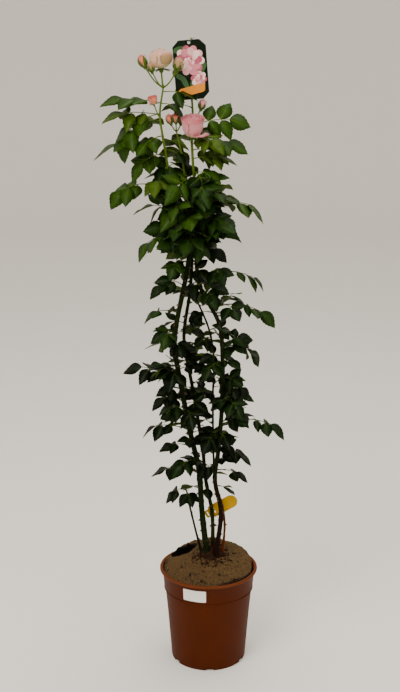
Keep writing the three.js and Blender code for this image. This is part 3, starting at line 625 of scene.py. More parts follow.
class Gathering:
    """Many stamped shapes, joined as arrays into one mesh."""

    def __init__(self):
        self.rows = {"points": [], "corners": [], "sizes": [], "finishes": []}
        self.count = 0
        self.nodes = set()

    def stamp(self, shape, axes, base, node=None):
        """Axes are where the shape's own x, y and z go, with their lengths."""
        self.rows["points"].append(shape.points @ np.array(axes) + np.array(base))
        self.rows["corners"].append(shape.corners + self.count)
        self.rows["sizes"].append(shape.sizes)
        self.rows["finishes"].append(shape.finishes)
        self.count += len(shape.points)
        if node:
            self.nodes.add(node)

    def mesh(self, name):
        points, corners, sizes, finishes = (np.concatenate(rows) for rows in self.rows.values())
        mesh = bpy.data.meshes.new(name)
        mesh.vertices.add(len(points))
        mesh.vertices.foreach_set("co", (points * MM).ravel())
        mesh.loops.add(len(corners))
        mesh.loops.foreach_set("vertex_index", corners)
        mesh.polygons.add(len(sizes))
        mesh.polygons.foreach_set("loop_start", np.concatenate([[0], np.cumsum(sizes)[:-1]]))
        mesh.polygons.foreach_set("material_index", finishes)
        mesh.update(calc_edges=True)
        return mesh


# A petal's middle colour starts this far along it, and its rim's colour this far
PETAL_BANDS = (0.33, 0.84)


def grown_sheet(rows, columns, sink, under, place):
    """A closed blade from a grid: place gives the point for how far along (0 to 1) and across
    (-1 to 1), and the row. A copy beneath it shares its rim and is sunk everywhere else. Under
    is 1 where that copy has a finish of its own, and 0 where the finishes run along the blade."""
    built = bmesh.new()
    bmesh.ops.create_grid(built, x_segments=rows, y_segments=columns, size=0.5)
    for face in built.faces:
        along = face.calc_center_median().x + 0.5
        face.material_index = 0 if under else sum(along > start for start in PETAL_BANDS)
    for vert in built.verts:
        along, across = vert.co.x + 0.5, vert.co.y * 2
        vert.co = place(along, across, round(along * rows))
    built.normal_update()
    copied = bmesh.ops.duplicate(built, geom=built.faces[:])
    lower = [item for item in copied["geom"] if isinstance(item, bmesh.types.BMFace)]
    for vert in {vert for face in lower for vert in face.verts}:
        if not vert.is_boundary:
            vert.co -= vert.normal * sink
    bmesh.ops.reverse_faces(built, faces=lower)
    for face in lower:
        face.material_index += under
    bmesh.ops.remove_doubles(built, verts=built.verts, dist=1e-5)
    return Shape(built)


def leaflet_shape(breadth, curl, wave, fold):
    """A toothed oval leaflet one unit long, folded along its midrib and curling down. Its
    underside is its second finish."""
    rows = 14

    def place(t, side, row):
        # Widest a little over a third of the way along, where the swell is 1
        swell = t ** 0.8 * (1 - t) ** 1.3 / 0.247 if 0 < row < rows else 0
        tooth = row % 2 == 0 and swell > 0 and side != 0
        half = 0.5 * breadth * swell
        ripple = wave * math.sin(9 * t + 1.6 * side) * abs(side) * swell
        return (t + (0.02 if tooth else 0), side * half * (1.045 if tooth else 0.955),
                fold * half * abs(side) + ripple - curl * t * t)

    return grown_sheet(rows, 2, 0.012, 1, place)


def strap_shape(breadth, curl, point):
    """A narrow pointed leaf one unit long, for stipules and open sepals."""

    def place(t, side, _):
        half = 0.5 * breadth * (1 - t ** point) * min(1, 0.55 + 1.6 * t)
        return (t, side * half, abs(side) * half * 0.4 + curl * t * t)

    return grown_sheet(6, 2, 0.02, 1, place)


def petal_shape(reach, height, closing, pinch, flare, half_turn, seed, point=0, under=0):
    """One petal of a cup, in units of the flower's radius, standing on the +X side: it
    follows an ellipse up from the base, draws in above its widest by pinch, and wraps round
    the axis. A point makes it a sepal."""

    def place(t, side, _):
        # The rim is broad, with rounded corners and a shallow notch
        short = 0.08 * side * side + 0.14 * side ** 6 + 0.03 * math.exp(-(side / 0.25) ** 2)
        t_here = t * (1 - t * short)
        angle = radians(-82 + (closing + 82) * t_here)
        rim = max(t_here - 0.7, 0) / 0.3
        out = math.cos(angle) if angle < 0 else 1 - pinch * (1 - math.cos(angle))
        out = reach * out + flare * rim * rim * (1 - 0.3 * side * side)
        rise = height * math.sin(angle) - 0.5 * flare * rim ** 3
        width = 0.3 + 0.7 * math.sin(0.5 * math.pi * min(1, t / 0.65))
        if point:
            width *= (1 - t) ** point
        spread = radians(half_turn) * width * side
        # One edge lies over the next petal and the other under it
        ripple = 0.03 * t * t * noise.noise(Vector((1.8 * side, 1.2 * t, seed)))
        out = max(out + ripple + reach * t * (0.05 * side + 0.03 * side ** 4), 0.012)
        return (out * math.cos(spread), out * math.sin(spread), rise + 1.5 * ripple)

    return grown_sheet(6, 2 if point else 8, 0.02, under, place)


def prickle_shape():
    """A flattened horn one unit long that hooks down."""
    built = bmesh.new()
    bmesh.ops.create_cone(built, cap_ends=True, segments=6, radius1=0.36, radius2=0.03, depth=1)
    long_edges = [edge for edge in built.edges if edge.calc_length() > 0.6]
    bmesh.ops.subdivide_edges(built, edges=long_edges, cuts=1)
    for vert in built.verts:
        out = vert.co.z + 0.5
        vert.co = (out, vert.co.x * 0.5, vert.co.y * 1.5 - 0.35 * out * out)
    return Shape(outward(built))


def ball_shape():
    """A flower's hip, before it is drawn out."""
    built = bmesh.new()
    bmesh.ops.create_uvsphere(built, u_segments=8, v_segments=6, radius=1)
    return Shape(built)


def crumb_shape():
    """An uneven crumb of bark."""
    built = bmesh.new()
    bmesh.ops.create_icosphere(built, subdivisions=1, radius=1)
    for vert in built.verts:
        vert.co *= 1 + 0.5 * noise.noise(vert.co * 3)
    return Shape(built)


# The canes' own lines

def cane_at(rows, z):
    """A cane's x, y and radius at a height, smooth between its rows."""
    last = len(rows) - 1
    i = 0
    while i < last - 1 and z > rows[i + 1][0]:
        i += 1
    before, start, end, after = rows[max(i - 1, 0)], rows[i], rows[i + 1], rows[min(i + 2, last)]
    gap = end[0] - start[0]
    t = min(max((z - start[0]) / gap, 0), 1)
    found = []
    # The same soft curve through the rows for x, y and radius in turn
    for k in (1, 2, 3):
        leave = (end[k] - before[k]) / (end[0] - before[0]) * gap
        arrive = (after[k] - start[k]) / (after[0] - start[0]) * gap
        found.append(start[k] * (2 * t ** 3 - 3 * t ** 2 + 1) + leave * (t ** 3 - 2 * t ** 2 + t)
                     + end[k] * (3 * t ** 2 - 2 * t ** 3) + arrive * (t ** 3 - t ** 2))
    return found


def touches_cane(point, spare):
    """Whether a point is inside a cane or nearer to one than spare."""
    for rows in CANES.values():
        if rows[0][0] <= point[2] <= rows[-1][0]:
            x, y, r = cane_at(rows, point[2])
            if math.hypot(point[0] - x, point[1] - y) < r + spare:
                return True
    return False


def smooth_path(points, cuts):
    """A soft curve through the points."""
    path = [Vector(point) for point in points]
    ends = [2 * path[0] - path[1], *path, 2 * path[-1] - path[-2]]
    soft = []
    for i in range(1, len(ends) - 2):
        a, b, c, d = ends[i - 1:i + 3]
        for k in range(cuts):
            t = k / cuts
            soft.append(0.5 * (2 * b + (c - a) * t + (2 * a - 5 * b + 4 * c - d) * t ** 2
                               + (3 * b - a - 3 * c + d) * t ** 3))
    return soft + [path[-1]]


def tapered(count, start, end):
    """Radii that narrow evenly along a stem."""
    return [start + (end - start) * i / (count - 1) for i in range(count)]


# The seeded rule for one leaf, as in the solids

def leaf_plan(root, turn, span, pitch, droop, draw, facing=0, slack=1):
    """Facing rolls the whole leaf, so that its upper side turns to the front or the back, and
    slack is how limply its leaflets hang."""
    roll = radians((draw() - 0.5) * 70 + facing * math.cos(radians(turn)))
    bend = radians((draw() - 0.5) * 30)
    small = span < SMALL_LEAF
    blade = LEAFLET_LEAST + LEAFLET_SHARE * span + (3 if small else 0)
    bare = span - blade

    def heading_at(s):
        a, p = radians(turn) + bend * s, radians(pitch - droop * s)
        return Vector((math.cos(a) * math.cos(p), math.sin(a) * math.cos(p), math.sin(p)))

    rachis = [Vector(root)]
    for i in range(2):
        rachis.append(rachis[i] + heading_at((i + 0.5) / 3) * (bare / 2))
    leaflets = []
    for s, side, share in LEAFLET_PLACES[2 if small else 0:]:
        spread = radians(62 + (draw() - 0.5) * 24)
        length = blade * share * (0.9 + 0.2 * draw())
        twist = radians((draw() - 0.5) * 44)
        hang = 0.1 + 0.25 * draw() if side == 0 else 0.2 + 0.65 * draw()
        heading = heading_at(1) if side == 0 else heading_at(s * bare / span)
        level = -heading.cross(UP).normalized()
        flat = Matrix.Rotation(roll, 3, heading) @ level
        normal = heading.cross(flat)
        along = heading.copy()
        if side:
            along = heading * math.cos(spread) + flat * side * math.sin(spread)
        along = (along - UP * hang * slack).normalized()
        across = Matrix.Rotation(twist, 3, along) @ normal.cross(along).normalized()
        step = min(s * 2, 2 - 1e-6)
        base = rachis[int(step)].lerp(rachis[int(step) + 1], step - int(step))
        leaflets.append((base, along, across, length))
    return rachis, leaflets


def leaflet_meets_cane(base, along, across, length):
    """Whether any of the places dotted over a leaflet touches a cane."""
    for i in range(2, 9):
        half = length * LEAFLET_WIDTH * 0.5 * min(1, (8 - i) / 4 + 0.05)
        for j in (-1, -0.5, 0, 0.5, 1):
            if touches_cane(base + along * (length * i / 8) + across * (half * j), LIMB_CLEAR):
                return True
    return False


def face_out(turn):
    """How far a leaf rolls to show its upper side, to the front or to the back."""
    return 34 if math.sin(radians(turn)) < 0.35 else -34


def finer_leaves(height, count):
    """The sprays are fullest below the blooms, and there is a thin waist under that."""
    if height > 960:
        return 0 if height > 1070 else count + 2
    return 1 if 570 < height < 860 else 0


def spray_plan(index, row):
    """A side spray's stem and leaves: the same draws in the same order as in the solids."""
    _, cane, height, turn, reach, rise, arch, count = row
    draw = seeded(index + 1)
    x, y, _ = cane_at(CANES[cane], height)
    end_span = min(LEAF_SPAN, max((reach - 12) / 0.92, LEAST_SPAN)) * (0.94 + 0.12 * draw())
    out = max(reach - 0.92 * end_span, 14)
    far = max(reach, out + 0.92 * end_span)

    def point(h):
        z = height + rise * (h / far) + 4 * arch * (h / far) * (1 - h / far)
        return Vector((x + h * math.cos(radians(turn)), y + h * math.sin(radians(turn)), z))

    def slope_at(h):
        return math.degrees(math.atan((rise + 4 * arch * (1 - 2 * h / far)) / far))

    steps = 4 if out > 40 else 2
    stem = [point(out * i / steps) for i in range(steps + 1)]
    leaves = []
    for k in range(count):
        is_end = k == count - 1
        along = 1 if is_end else 0.42 + 0.5 * k / max(count - 1, 1) + 0.06 * draw()
        h = max(out * along, 11)
        side = 1 if (k + index) % 2 else -1
        swing = (draw() - 0.5) * 16 if is_end else side * (48 + 34 * draw())
        pitch = slope_at(h) + (0 if is_end else 10 + 22 * draw())
        droop = slope_at(h) - slope_at(far) if is_end else 26 + 26 * draw()
        span = end_span if is_end else end_span * (0.74 + 0.24 * draw())
        root = stem[steps] if is_end else point(h)
        leaves.append(leaf_plan(root, turn + swing, span, pitch, droop, draw))
    # Finer leaves than the solids hold fill the spray within the same reach
    more = seeded(index + 401)
    for k in range(finer_leaves(height, count)):
        h = max(out * (0.15 + 0.8 * more()), 9)
        swing = (1 if k % 2 else -1) * (34 + 60 * more())
        span = end_span * (0.5 + 0.28 * more())
        pitch, droop = slope_at(h) + 30 * more(), 20 + 40 * more()
        leaves.append(leaf_plan(point(h), turn + swing, span, pitch, droop, more, face_out(turn + swing),
                                FINE_SLACK))
    return stem, leaves


def on_stem(points, z):
    """The point at a height on a rising stem."""
    for start, end in zip(points, points[1:]):
        if end.z >= z:
            return start.lerp(end, (z - start.z) / (end.z - start.z))
    return points[-1].copy()


# The whole plant's leaves are gathered by their green, and all stems by kind

LEAFLETS = [(leaflet_shape(breadth, curl, wave, fold), curl) for breadth, curl, wave, fold in
            ((0.7, 0.10, 0.015, 0.16), (0.62, 0.18, 0.02, 0.24), (0.76, 0.05, 0.03, 0.1))]
STIPULE = strap_shape(0.3, 0.05, 3)
OPEN_SEPAL = strap_shape(0.34, 0.1, 2.2)
BUD_SEPALS = [petal_shape(0.98, 1.42, closing, 1, flare, 50, seed=90 + closing, point=0.8, under=1)
              for closing, flare in ((62, 0.08), (48, 0.12), (26, 0.24))]
PRICKLE = prickle_shape()
BALL = ball_shape()
CRUMB = crumb_shape()
# The places of the three skins in the mesh of all stalks
STEM, TWIG, RIB = range(3)

foliage = [Gathering() for _ in LEAF_KINDS]
stalks = []
stalk_nodes = set()
SOLIDS_BOX = [(low * 1000, high * 1000) for low, high in zip(cad_box[0], cad_box[1])]
BOX_SPARE = 4


def outside_box(point):
    """Whether a point is past the reach of the solids."""
    return any(not low - BOX_SPARE < value < high + BOX_SPARE
               for value, (low, high) in zip(point, SOLIDS_BOX))


def leaf_kind(root, tip, draw):
    """Higher and outer leaves take lighter greens, and leaves near the middle darker ones: painted light
    and painted shade, with the paler younger growth at the top. A few are a kind lighter or darker than
    their neighbours."""
    sides = [cane_at(CANES[name], min(root.z, 1085)) for name in ("left", "right")]
    out = math.hypot(tip.x - (sides[0][0] + sides[1][0]) / 2, tip.y - (sides[0][1] + sides[1][1]) / 2)
    # Painted shade for leaf tips near the middle of the bush, painted light for those far out
    light = min(max((out - 85) / 32, -1.3), 0.5)
    # Higher leaves are lighter: painted light from above, and partly the paler younger growth
    level = 4.6 * max((root.z - 400) / 1000, 0) ** 1.4 + light + (draw() - 0.5) * 1.6
    return int(min(max(level, 0), len(LEAF_KINDS) - 1))


def turned_to_light(base, along, across, share):
    """A leaflet twists on its own stalk part of the way to face up and outwards."""
    side = Vector((0, -1 if base.y < 4 else 1, 0))
    wanted = along.cross((UP * 0.5 + side).cross(along)).normalized()
    normal = along.cross(across)
    apart = math.atan2(normal.cross(wanted).dot(along), normal.dot(wanted))
    twist = min(max(share * apart, -0.8), 0.8)
    return Matrix.Rotation(twist, 3, along) @ across


def grow_stipules(kind, root, toward, node, draw):
    """A pair of small wings where a leaf's stalk leaves its stem."""
    out = (toward - root).normalized()
    flat = -out.cross(UP).normalized()
    over = out.cross(flat)
    for side in (1, -1):
        way = (out + flat * side * 0.35).normalized()
        size = 9 + 3 * draw()
        axes = [way * size, over.cross(way) * size, over * size]
        foliage[kind].stamp(STIPULE, axes, root + out * 1.5 + flat * side, node)


def grow_leaf(node, plan, draw):
    """One compound leaf: a curved stalk, its leaflets on short stalks, and stipules."""
    rachis, leaflets = plan
    if any(touches_cane(point, LIMB_CLEAR) for point in rachis[1:]):
        return
    if any(outside_box(base + along * length) for base, along, _, length in leaflets):
        return
    tip = leaflets[-1][0] + leaflets[-1][1] * leaflets[-1][3]
    kind = leaf_kind(rachis[0], tip, draw)
    path = smooth_path(rachis, 3)
    stalks.append((path, tapered(len(path), 1.15, 0.6), TWIG))
    stalk_nodes.add(node)
    for base, along, across, length in leaflets:
        shape, curl = LEAFLETS[int(draw() * len(LEAFLETS))]
        across = turned_to_light(base, along, across, 0.15 + 0.5 * draw())
        length *= UPPER_GROWTH if base.z > UPPER_FROM else 1
        if leaflet_meets_cane(base, along, across, length):
            continue
        normal = along.cross(across)
        start = base + along * LEAFLET_STALK
        blade = length - LEAFLET_STALK
        foliage[kind].stamp(shape, [along * blade, across * blade, normal * blade], start, node)
        # The leaflet's own stalk runs on as its midrib
        rib = [start + along * blade * t - normal * blade * (curl * t * t + 0.006)
               for t in (-0.04, 0.3, 0.6, 0.9)]
        stalks.append((rib, [0.75, 0.6, 0.45, 0.2], RIB))
    grow_stipules(kind, rachis[0], rachis[1], node, draw)


def grow_sprays():
    """Every side spray: its twig and its leaves."""
    for index, row in enumerate(SPRAYS):
        stem, leaves = spray_plan(index, row)
        path = smooth_path(stem, 2)
        stalks.append((path, tapered(len(path), 2.1, 1.2), TWIG))
        draw = seeded(index + 801)
        for plan in leaves:
            grow_leaf(row[0], plan, draw)


def grow_spurs():
    """Spur leaves turn round their cane by the golden angle, so no side stays bare."""
    names = [row[0] for row in SPRAYS]
    heights = {row[0]: row[2] for row in SPRAYS}
    for index, (cane, low, high, count, short, long) in enumerate(SPURS):
        draw = seeded(index + 1201)
        for k in range(count):
            z = low + (high - low) * (k + draw()) / count
            turn = 137.5 * k + 60 * index + 30 * draw()
            x, y, r = cane_at(CANES[cane], z)
            out = radians(turn)
            root = Vector((x + (r - 1) * math.cos(out), y + (r - 1) * math.sin(out), z))
            span = short + (long - short) * draw()
            plan = leaf_plan(root, turn, span, 10 + 30 * draw(), 20 + 40 * draw(), draw, face_out(turn),
                             FINE_SLACK)
            nearest = min(names, key=lambda name: abs(heights[name] - z))
            grow_leaf(nearest, plan, draw)


petals = {name: Gathering() for name in PETALS}
sepals = Gathering()


def turned_axes(size, turn, tilt):
    """Axes of a shape turned about +Z and then tipped, as rows."""
    turning = Matrix.Rotation(radians(tilt[1]), 3, "Y") @ Matrix.Rotation(radians(tilt[0]), 3, "X")
    turning = turning @ Matrix.Rotation(radians(turn), 3, "Z")
    return [turning @ Vector(axis) * size for axis in ((1, 0, 0), (0, 1, 0), (0, 0, 1))]


# Two shapes of petal for each layer of each kind of flower
FLOWER_SHAPES = {
    form: [[petal_shape(*layer[1:7], seed=7 * i + j) for j in range(2)] for i, layer in enumerate(layers)]
    for form, layers in FLOWERS.items()
}


def grow_flower(form, centre, radius, turn, tilt, colour, draw, node):
    """A flower's petals, layer on layer, each a little out of true."""
    for level, (count, *_, own_colour) in enumerate(FLOWERS[form]):
        for k in range(count):
            around = turn + 137.5 * level + 360 * k / count + (12 * (draw() - 0.5) if level else 0)
            size = radius * (0.97 + 0.06 * draw())
            lean = (tilt[0] + 5 * (draw() - 0.5), tilt[1] + 5 * (draw() - 0.5))
            shape = FLOWER_SHAPES[form][level][int(draw() * 2)]
            petals[own_colour or colour].stamp(shape, turned_axes(size, around, lean), centre, node)


def grow_hip(base, size, tilt):
    """The green swelling under a flower."""
    axes = turned_axes(size, 0, tilt)
    axes[2] *= 1.3
    sepals.stamp(BALL, axes, base)


def grow_bud(centre, radius, tilt, colour, draw, node):
    """A bud in its sepals: some cling to it and some have begun to turn away."""
    grow_flower("bud", centre, radius, 360 * draw(), tilt, colour, draw, node)
    for k in range(5):
        shape = BUD_SEPALS[int(draw() * len(BUD_SEPALS))]
        sepals.stamp(shape, turned_axes(radius, 72 * k + 20 * draw(), tilt), centre)
    base = centre - turned_axes(radius * 1.3, 0, tilt)[2]
    grow_hip(base, radius * 0.4, tilt)
    return base


def grow_bloom(centre, radius, form, turn, tilt, colour, draw, node):
    """An open bloom over its hip, with the sepals folded back beneath it."""
    grow_flower(form, centre, radius, turn, tilt, colour, draw, node)
    base = centre - turned_axes(radius * 0.9, 0, tilt)[2]
    for k in range(5):
        axes = turned_axes(1, 72 * k + 30 * draw(), tilt)
        way = axes[0] * math.sin(radians(108)) + axes[2] * math.cos(radians(108))
        length = radius * (0.8 + 0.25 * draw())
        over = way.cross(axes[1])
        sepals.stamp(OPEN_SEPAL, [way * length, axes[1] * length, over * length], base + UP * 2 + way * 2)
    grow_hip(base - UP * 1.5, radius * 0.21, tilt)
    return base


def grow_head(node, stem, place, radius, low, kind, draw):
    """A bloom or a bud on its own stalk, with a small bract where that leaves the stem."""
    centre = Vector(place)
    start = on_stem(stem, low)
    way = centre - start
    tilt = (-0.5 * math.degrees(math.atan2(way.y, way.z)) + 8 * (draw() - 0.5),
            0.5 * math.degrees(math.atan2(way.x, way.z)) + 8 * (draw() - 0.5))
    if isinstance(kind, tuple):
        form, turn, colour = kind
        base = grow_bloom(centre, radius, form, turn, tilt, colour, draw, node)
    else:
        base = grow_bud(centre, radius, tilt, kind, draw, node)
    elbow = start.lerp(base, 0.5) - UP * 0.1 * (base - start).length
    path = smooth_path([start, elbow, base], 4)
    girth = 1.2 + radius * 0.035
    stalks.append((path, tapered(len(path), girth, girth * 0.85), STEM))
    side = way.cross(UP).normalized()
    out = (way.normalized() + side * 0.6).normalized()
    size = 8 + 6 * draw()
    sepals.stamp(STIPULE, [out * size, side.cross(out) * size, side * size], start)


def grow_shoot(index, shoot):
    """A shoot that carries on from its cane's tip, with its blooms, buds and leaves."""
    node, rows = shoot["name"], CANES[shoot["cane"]]
    tip = Vector((*cane_at(rows, rows[-1][0])[:2], rows[-1][0] - 4))
    stem = [tip, *[Vector(place) for place in shoot["path"]]]
    path = smooth_path(stem, 5)
    stalks.append((path, tapered(len(path), shoot["girth"], shoot["girth"] * 0.55), STEM))
    stalk_nodes.add(node)
    draw = seeded(index + 1601)
    for x, y, z, radius, form, turn, colour in shoot["blooms"]:
        grow_head(node, stem, (x, y, z), radius, min(z - 40, stem[-1].z), (form, turn, colour), draw)
    for x, y, z, radius, low, colour in shoot["buds"]:
        grow_head(node, stem, (x, y, z), radius, low, colour, draw)
    for k, (z, turn, span, pitch, droop) in enumerate(shoot["leaves"] + shoot["more"]):
        facing, slack = (0, 1) if k < len(shoot["leaves"]) else (face_out(turn), FINE_SLACK)
        plan = leaf_plan(on_stem(stem, z), turn, span, pitch, droop,
                         seeded(200 + index * 20 + k), facing, slack)
        grow_leaf(node, plan, draw)


def grow_shoots():
    """Every shoot at a cane's tip."""
    for index, shoot in enumerate(SHOOTS):
        grow_shoot(index, shoot)


def add_foliage():
    """What the sprays, spurs and shoots have gathered: leaves, stems, petals and sepals."""
    for (name, _, _), gathered, finishes in zip(LEAF_KINDS, foliage, FOLIAGE):
        shown(f"leaves_{name}", gathered.mesh(name), finishes, "leaf", *sorted(gathered.nodes))
    shown("stalks_and_midribs", tube_mesh("stalks", stalks, 4), [STEM_GREEN, TWIG_GREEN, MIDRIB],
          "leaf", *sorted(stalk_nodes))
    for name, gathered in petals.items():
        shown(f"petals_{name}", gathered.mesh(name), PETALS[name], "petal", *sorted(gathered.nodes))
    shown("sepals_and_hips", sepals.mesh("sepals"), [SEPAL_GREEN, SEPAL_GREEN], "leaf")


# How far a cane's foot is sunk into the union, the foot's radius from which a cane is stout,
# and the length of stout and of thin cane to each prickle
CANE_SUNK = 8
STOUT_RADIUS = 4
PRICKLE_SPACING = 15
THIN_PRICKLE_SPACING = 24


def joint_heights(foot, top, draw):
    """The heights of a cane's joints, 38 to 78 mm apart."""
    heights = []
    z = foot + 30
    while z < top - 10:
        heights.append(z)
        z += 38 + 40 * draw()
    return heights


def cane_bark(name, rows, foot, top, joints):
    """A cane that swells at its joints and flares at its foot, in raised and furrowed bark."""
    count = int((top - foot) / 4)
    points, radii = [], []
    for i in range(count + 1):
        z = foot + (top - foot) * i / count
        x, y, r = cane_at(rows, z)
        swell = sum(math.exp(-((z - joint) / 3.5) ** 2) for joint in joints)
        flare = 0.35 * math.exp(-(z - foot) / 14)
        points.append((x, y, z))
        radii.append(r * (0.97 + 0.14 * swell + flare))
    mesh = tube_mesh(name, [(points, radii, 0)], 14)
    for vert in mesh.vertices:
        fine = noise.noise(vert.co * 260) * 0.16 + noise.noise(vert.co * 90) * 0.3
        vert.co += vert.normal * fine * MM
    return mesh


def stamp_prickles(prickles, rows, foot, top, draw):
    """Prickles on all sides of a cane: fewer and smaller ones on a thin cane."""
    stout = rows[0][3] > STOUT_RADIUS
    spacing = PRICKLE_SPACING if stout else THIN_PRICKLE_SPACING
    for _ in range(int((top - foot) / spacing)):
        z = foot + 20 + (top - foot - 30) * draw()
        turn = radians(360 * draw())
        x, y, r = cane_at(rows, z)
        out = Vector((math.cos(turn), math.sin(turn), 0))
        size = (4 + 3.5 * draw()) * (1 if stout else 0.7)
        axes = [out * size, UP.cross(out) * size, UP * size]
        prickles.stamp(PRICKLE, axes, Vector((x, y, z)) + out * (r - 0.5))


def add_canes():
    """Each cane in its own bark, and the prickles of all of them."""
    prickles = Gathering()
    for index, (name, rows) in enumerate(CANES.items()):
        draw = seeded(index + 2001)
        foot, top = rows[0][0] - CANE_SUNK, rows[-1][0]
        bark = cane_bark(name, rows, foot, top, joint_heights(foot, top, draw))
        shown(f"cane_{name}_bark", bark, [CANE_BARKS[name]], "green_bark", f"cane_{name}")
        stamp_prickles(prickles, rows, foot, top, draw)
    shown("prickles", prickles.mesh("prickles"), [PRICKLE_HORN], "green_bark", smooth=False)


# The union's knobs: x, y, z and their half sizes
UNION_KNOBS = [
    (0, 0, 246, 18, 16, 22), (20, 0, 252, 12, 11, 14), (-12, -3, 254, 9, 9, 12),
    (8, 6, 258, 11, 10, 12), (8, -12, 244, 10, 9, 9), (-20, 4, 242, 8, 8, 9),
    (31, 3, 248, 7, 7, 10), (2, -4, 218, 20, 19, 16),
]


def add_union():
    """The graft union: knobs grown into one another, with furrowed bark."""
    built = bmesh.new()
    for x, y, z, rx, ry, rz in UNION_KNOBS:
        place = Matrix.Translation((x, y, z)) @ Matrix.Diagonal((rx, ry, rz, 1))
        bmesh.ops.create_icosphere(built, subdivisions=3, radius=1, matrix=place)
    joined = worked(mesh_of("union", built), "REMESH", mode="VOXEL", voxel_size=1.3 * MM)
    smoothed = bmesh.new()
    smoothed.from_mesh(joined)
    for _ in range(3):
        bmesh.ops.smooth_vert(smoothed, verts=smoothed.verts, factor=0.5, use_axis_x=True,
                              use_axis_y=True, use_axis_z=True)
    smoothed.normal_update()
    for vert in smoothed.verts:
        furrow = noise.noise(Vector((vert.co.x * 150, vert.co.y * 150, vert.co.z * 60)))
        knob = noise.noise(vert.co * 70)
        vert.co += vert.normal * (1.3 * furrow + 2 * knob) * MM
        vert.co.z = max(vert.co.z, (SOIL_TOP + 0.3) * MM)
    smoothed.to_mesh(joined)
    smoothed.free()
    shown("graft_union_bark", joined, [UNION_BARK], "bark", "graft_union")


def add_crumbs():
    """Crumbs and slivers of bark on the mat, thickest against the union."""
    crumbs = Gathering()
    draw = seeded(2601)
    for _ in range(CRUMB_COUNT):
        out, turn = 12 + 36 * draw() ** 1.6, 2 * math.pi * draw()
        x, y = 6 + out * math.cos(turn), out * math.sin(turn) * 0.9
        size = 0.7 + 1.4 * draw()
        axes = turned_axes(size, 360 * draw(), (40 * draw(), 40 * draw()))
        axes[0] *= 1 + 2.5 * draw()
        crumbs.stamp(CRUMB, axes, (x, y, mat_surface(x, y) + size * 0.4))
    shown("bark_crumbs", crumbs.mesh("crumbs"), [UNION_BARK], "bark", smooth=False)


# The pot and what fills it

def wall_radius(z):
    """The pot's outer radius below its collar."""
    return POT_BASE_RADIUS + POT_TAPER * z


LIP_FOOT = POT_HEIGHT - LIP_HEIGHT
COLLAR_RADIUS = wall_radius(COLLAR_FOOT) + COLLAR_STEP


def pot_profile():
    """Radii and heights from the middle of the underside, up the outside and down the inside."""
    collar_top = COLLAR_RADIUS + COLLAR_FLARE * (LIP_FOOT - COLLAR_FOOT)
    half = LIP_HEIGHT / 2
    foot = [(0, 1), (POT_BASE_RADIUS - 9, 1), (POT_BASE_RADIUS - 7, 0), (POT_BASE_RADIUS - 1.2, 0),
            (POT_BASE_RADIUS - 0.2, 1)]
    wall = [(wall_radius(z), z) for z in (4, 60, 116, COLLAR_FOOT - 1)]
    # Two fine ridges run round the foot of the collar
    ridges = [(wall_radius(COLLAR_FOOT), COLLAR_FOOT - 0.3)]
    ridges += [(COLLAR_RADIUS + out, COLLAR_FOOT + up) for out, up in
               ((0.4, 0.2), (0.9, 1.2), (0.5, 2.6), (-0.5, 3.2), (-0.4, 4.4), (0.4, 5))]
    collar = [(collar_top, LIP_FOOT - 1.2), (collar_top + 0.6, LIP_FOOT)]
    roll = [(LIP_RADIUS - half + half * math.cos(a), LIP_FOOT + half + half * math.sin(a))
            for a in [radians(-75 + 15 * i) for i in range(12)]]
    inside = [(collar_top - POT_WALL + 1, POT_HEIGHT - 2), (collar_top - POT_WALL, LIP_FOOT - 2),
              (COLLAR_RADIUS - POT_WALL, COLLAR_FOOT + 1), (wall_radius(POT_FLOOR) - POT_WALL, POT_FLOOR),
              (0, POT_FLOOR)]
    return [*foot, *wall, *ridges, *collar, *roll, *inside]


def drain_cutters():
    """A block with soft edges for each drain notch round the pot's foot."""
    cutters = bmesh.new()
    for i in range(DRAIN_COUNT):
        turn = Matrix.Rotation(radians(DRAIN_FIRST_TURN + 360 / DRAIN_COUNT * i), 4, "Z")
        place = turn @ Matrix.Translation((POT_BASE_RADIUS - 1, 0, DRAIN_HEIGHT / 2 - 2))
        size = Matrix.Diagonal((DRAIN_DEPTH, DRAIN_WIDTH, DRAIN_HEIGHT + 4, 1))
        bmesh.ops.create_cube(cutters, size=1, matrix=place @ size)
    bmesh.ops.bevel(cutters, geom=cutters.edges, offset=1.5, segments=2, profile=0.5, affect="EDGES",
                    material=-1)
    return cutters


def add_pot():
    """The pot, with its drain notches cut and painted light on the top of its lip."""
    pot = cut_by(mesh_of("pot", outward(lathed(pot_profile(), 96))), drain_cutters())
    # Faces above this height take the lighter lip colour, which is painted light
    painted_light_from = (LIP_FOOT + 1.5) * MM
    pot.polygons.foreach_set("material_index", [int(face.center.z > painted_light_from) for face in pot.polygons])
    shown("nursery_pot", pot, [POT_PLASTIC, PAINTED_LIP_LIGHT], "terracotta_plastic", "pot")
    pot.set_sharp_from_angle(angle=radians(38))


def mat_height(x, y):
    """The mat's broad form: mounded round the union and rising to the back and the right."""
    out = min(math.hypot(x, y) / MAT_RADIUS, 1)
    back = y / MAT_RADIUS
    mound = 30 * (1 - out * out)
    rise = 14 * out * out * max(back, -0.2)
    slope = 16 * max(back, 0) * (1 - 0.35 * out)
    side = 8 * max(x / MAT_RADIUS, 0) * out
    return MAT_EDGE + mound + rise + slope + side


def in_slit(x, y):
    """How far a point is from the slit's middle, as a share of its half sizes."""
    turn = radians(SLIT["turn"])
    dx, dy = x - SLIT["x"], y - SLIT["y"]
    along = dx * math.cos(turn) + dy * math.sin(turn)
    across = dy * math.cos(turn) - dx * math.sin(turn)
    return math.hypot(along / SLIT["half_length"], across / SLIT["half_width"])


def mat_reach(x, y):
    """The rim's distance from the axis on this side: it stops short at the front right."""
    turn = math.degrees(math.atan2(y, x))
    return MAT_RADIUS - 9 * math.exp(-((turn + 54) / 30) ** 2) - 1.2 * math.cos(radians(5 * turn))


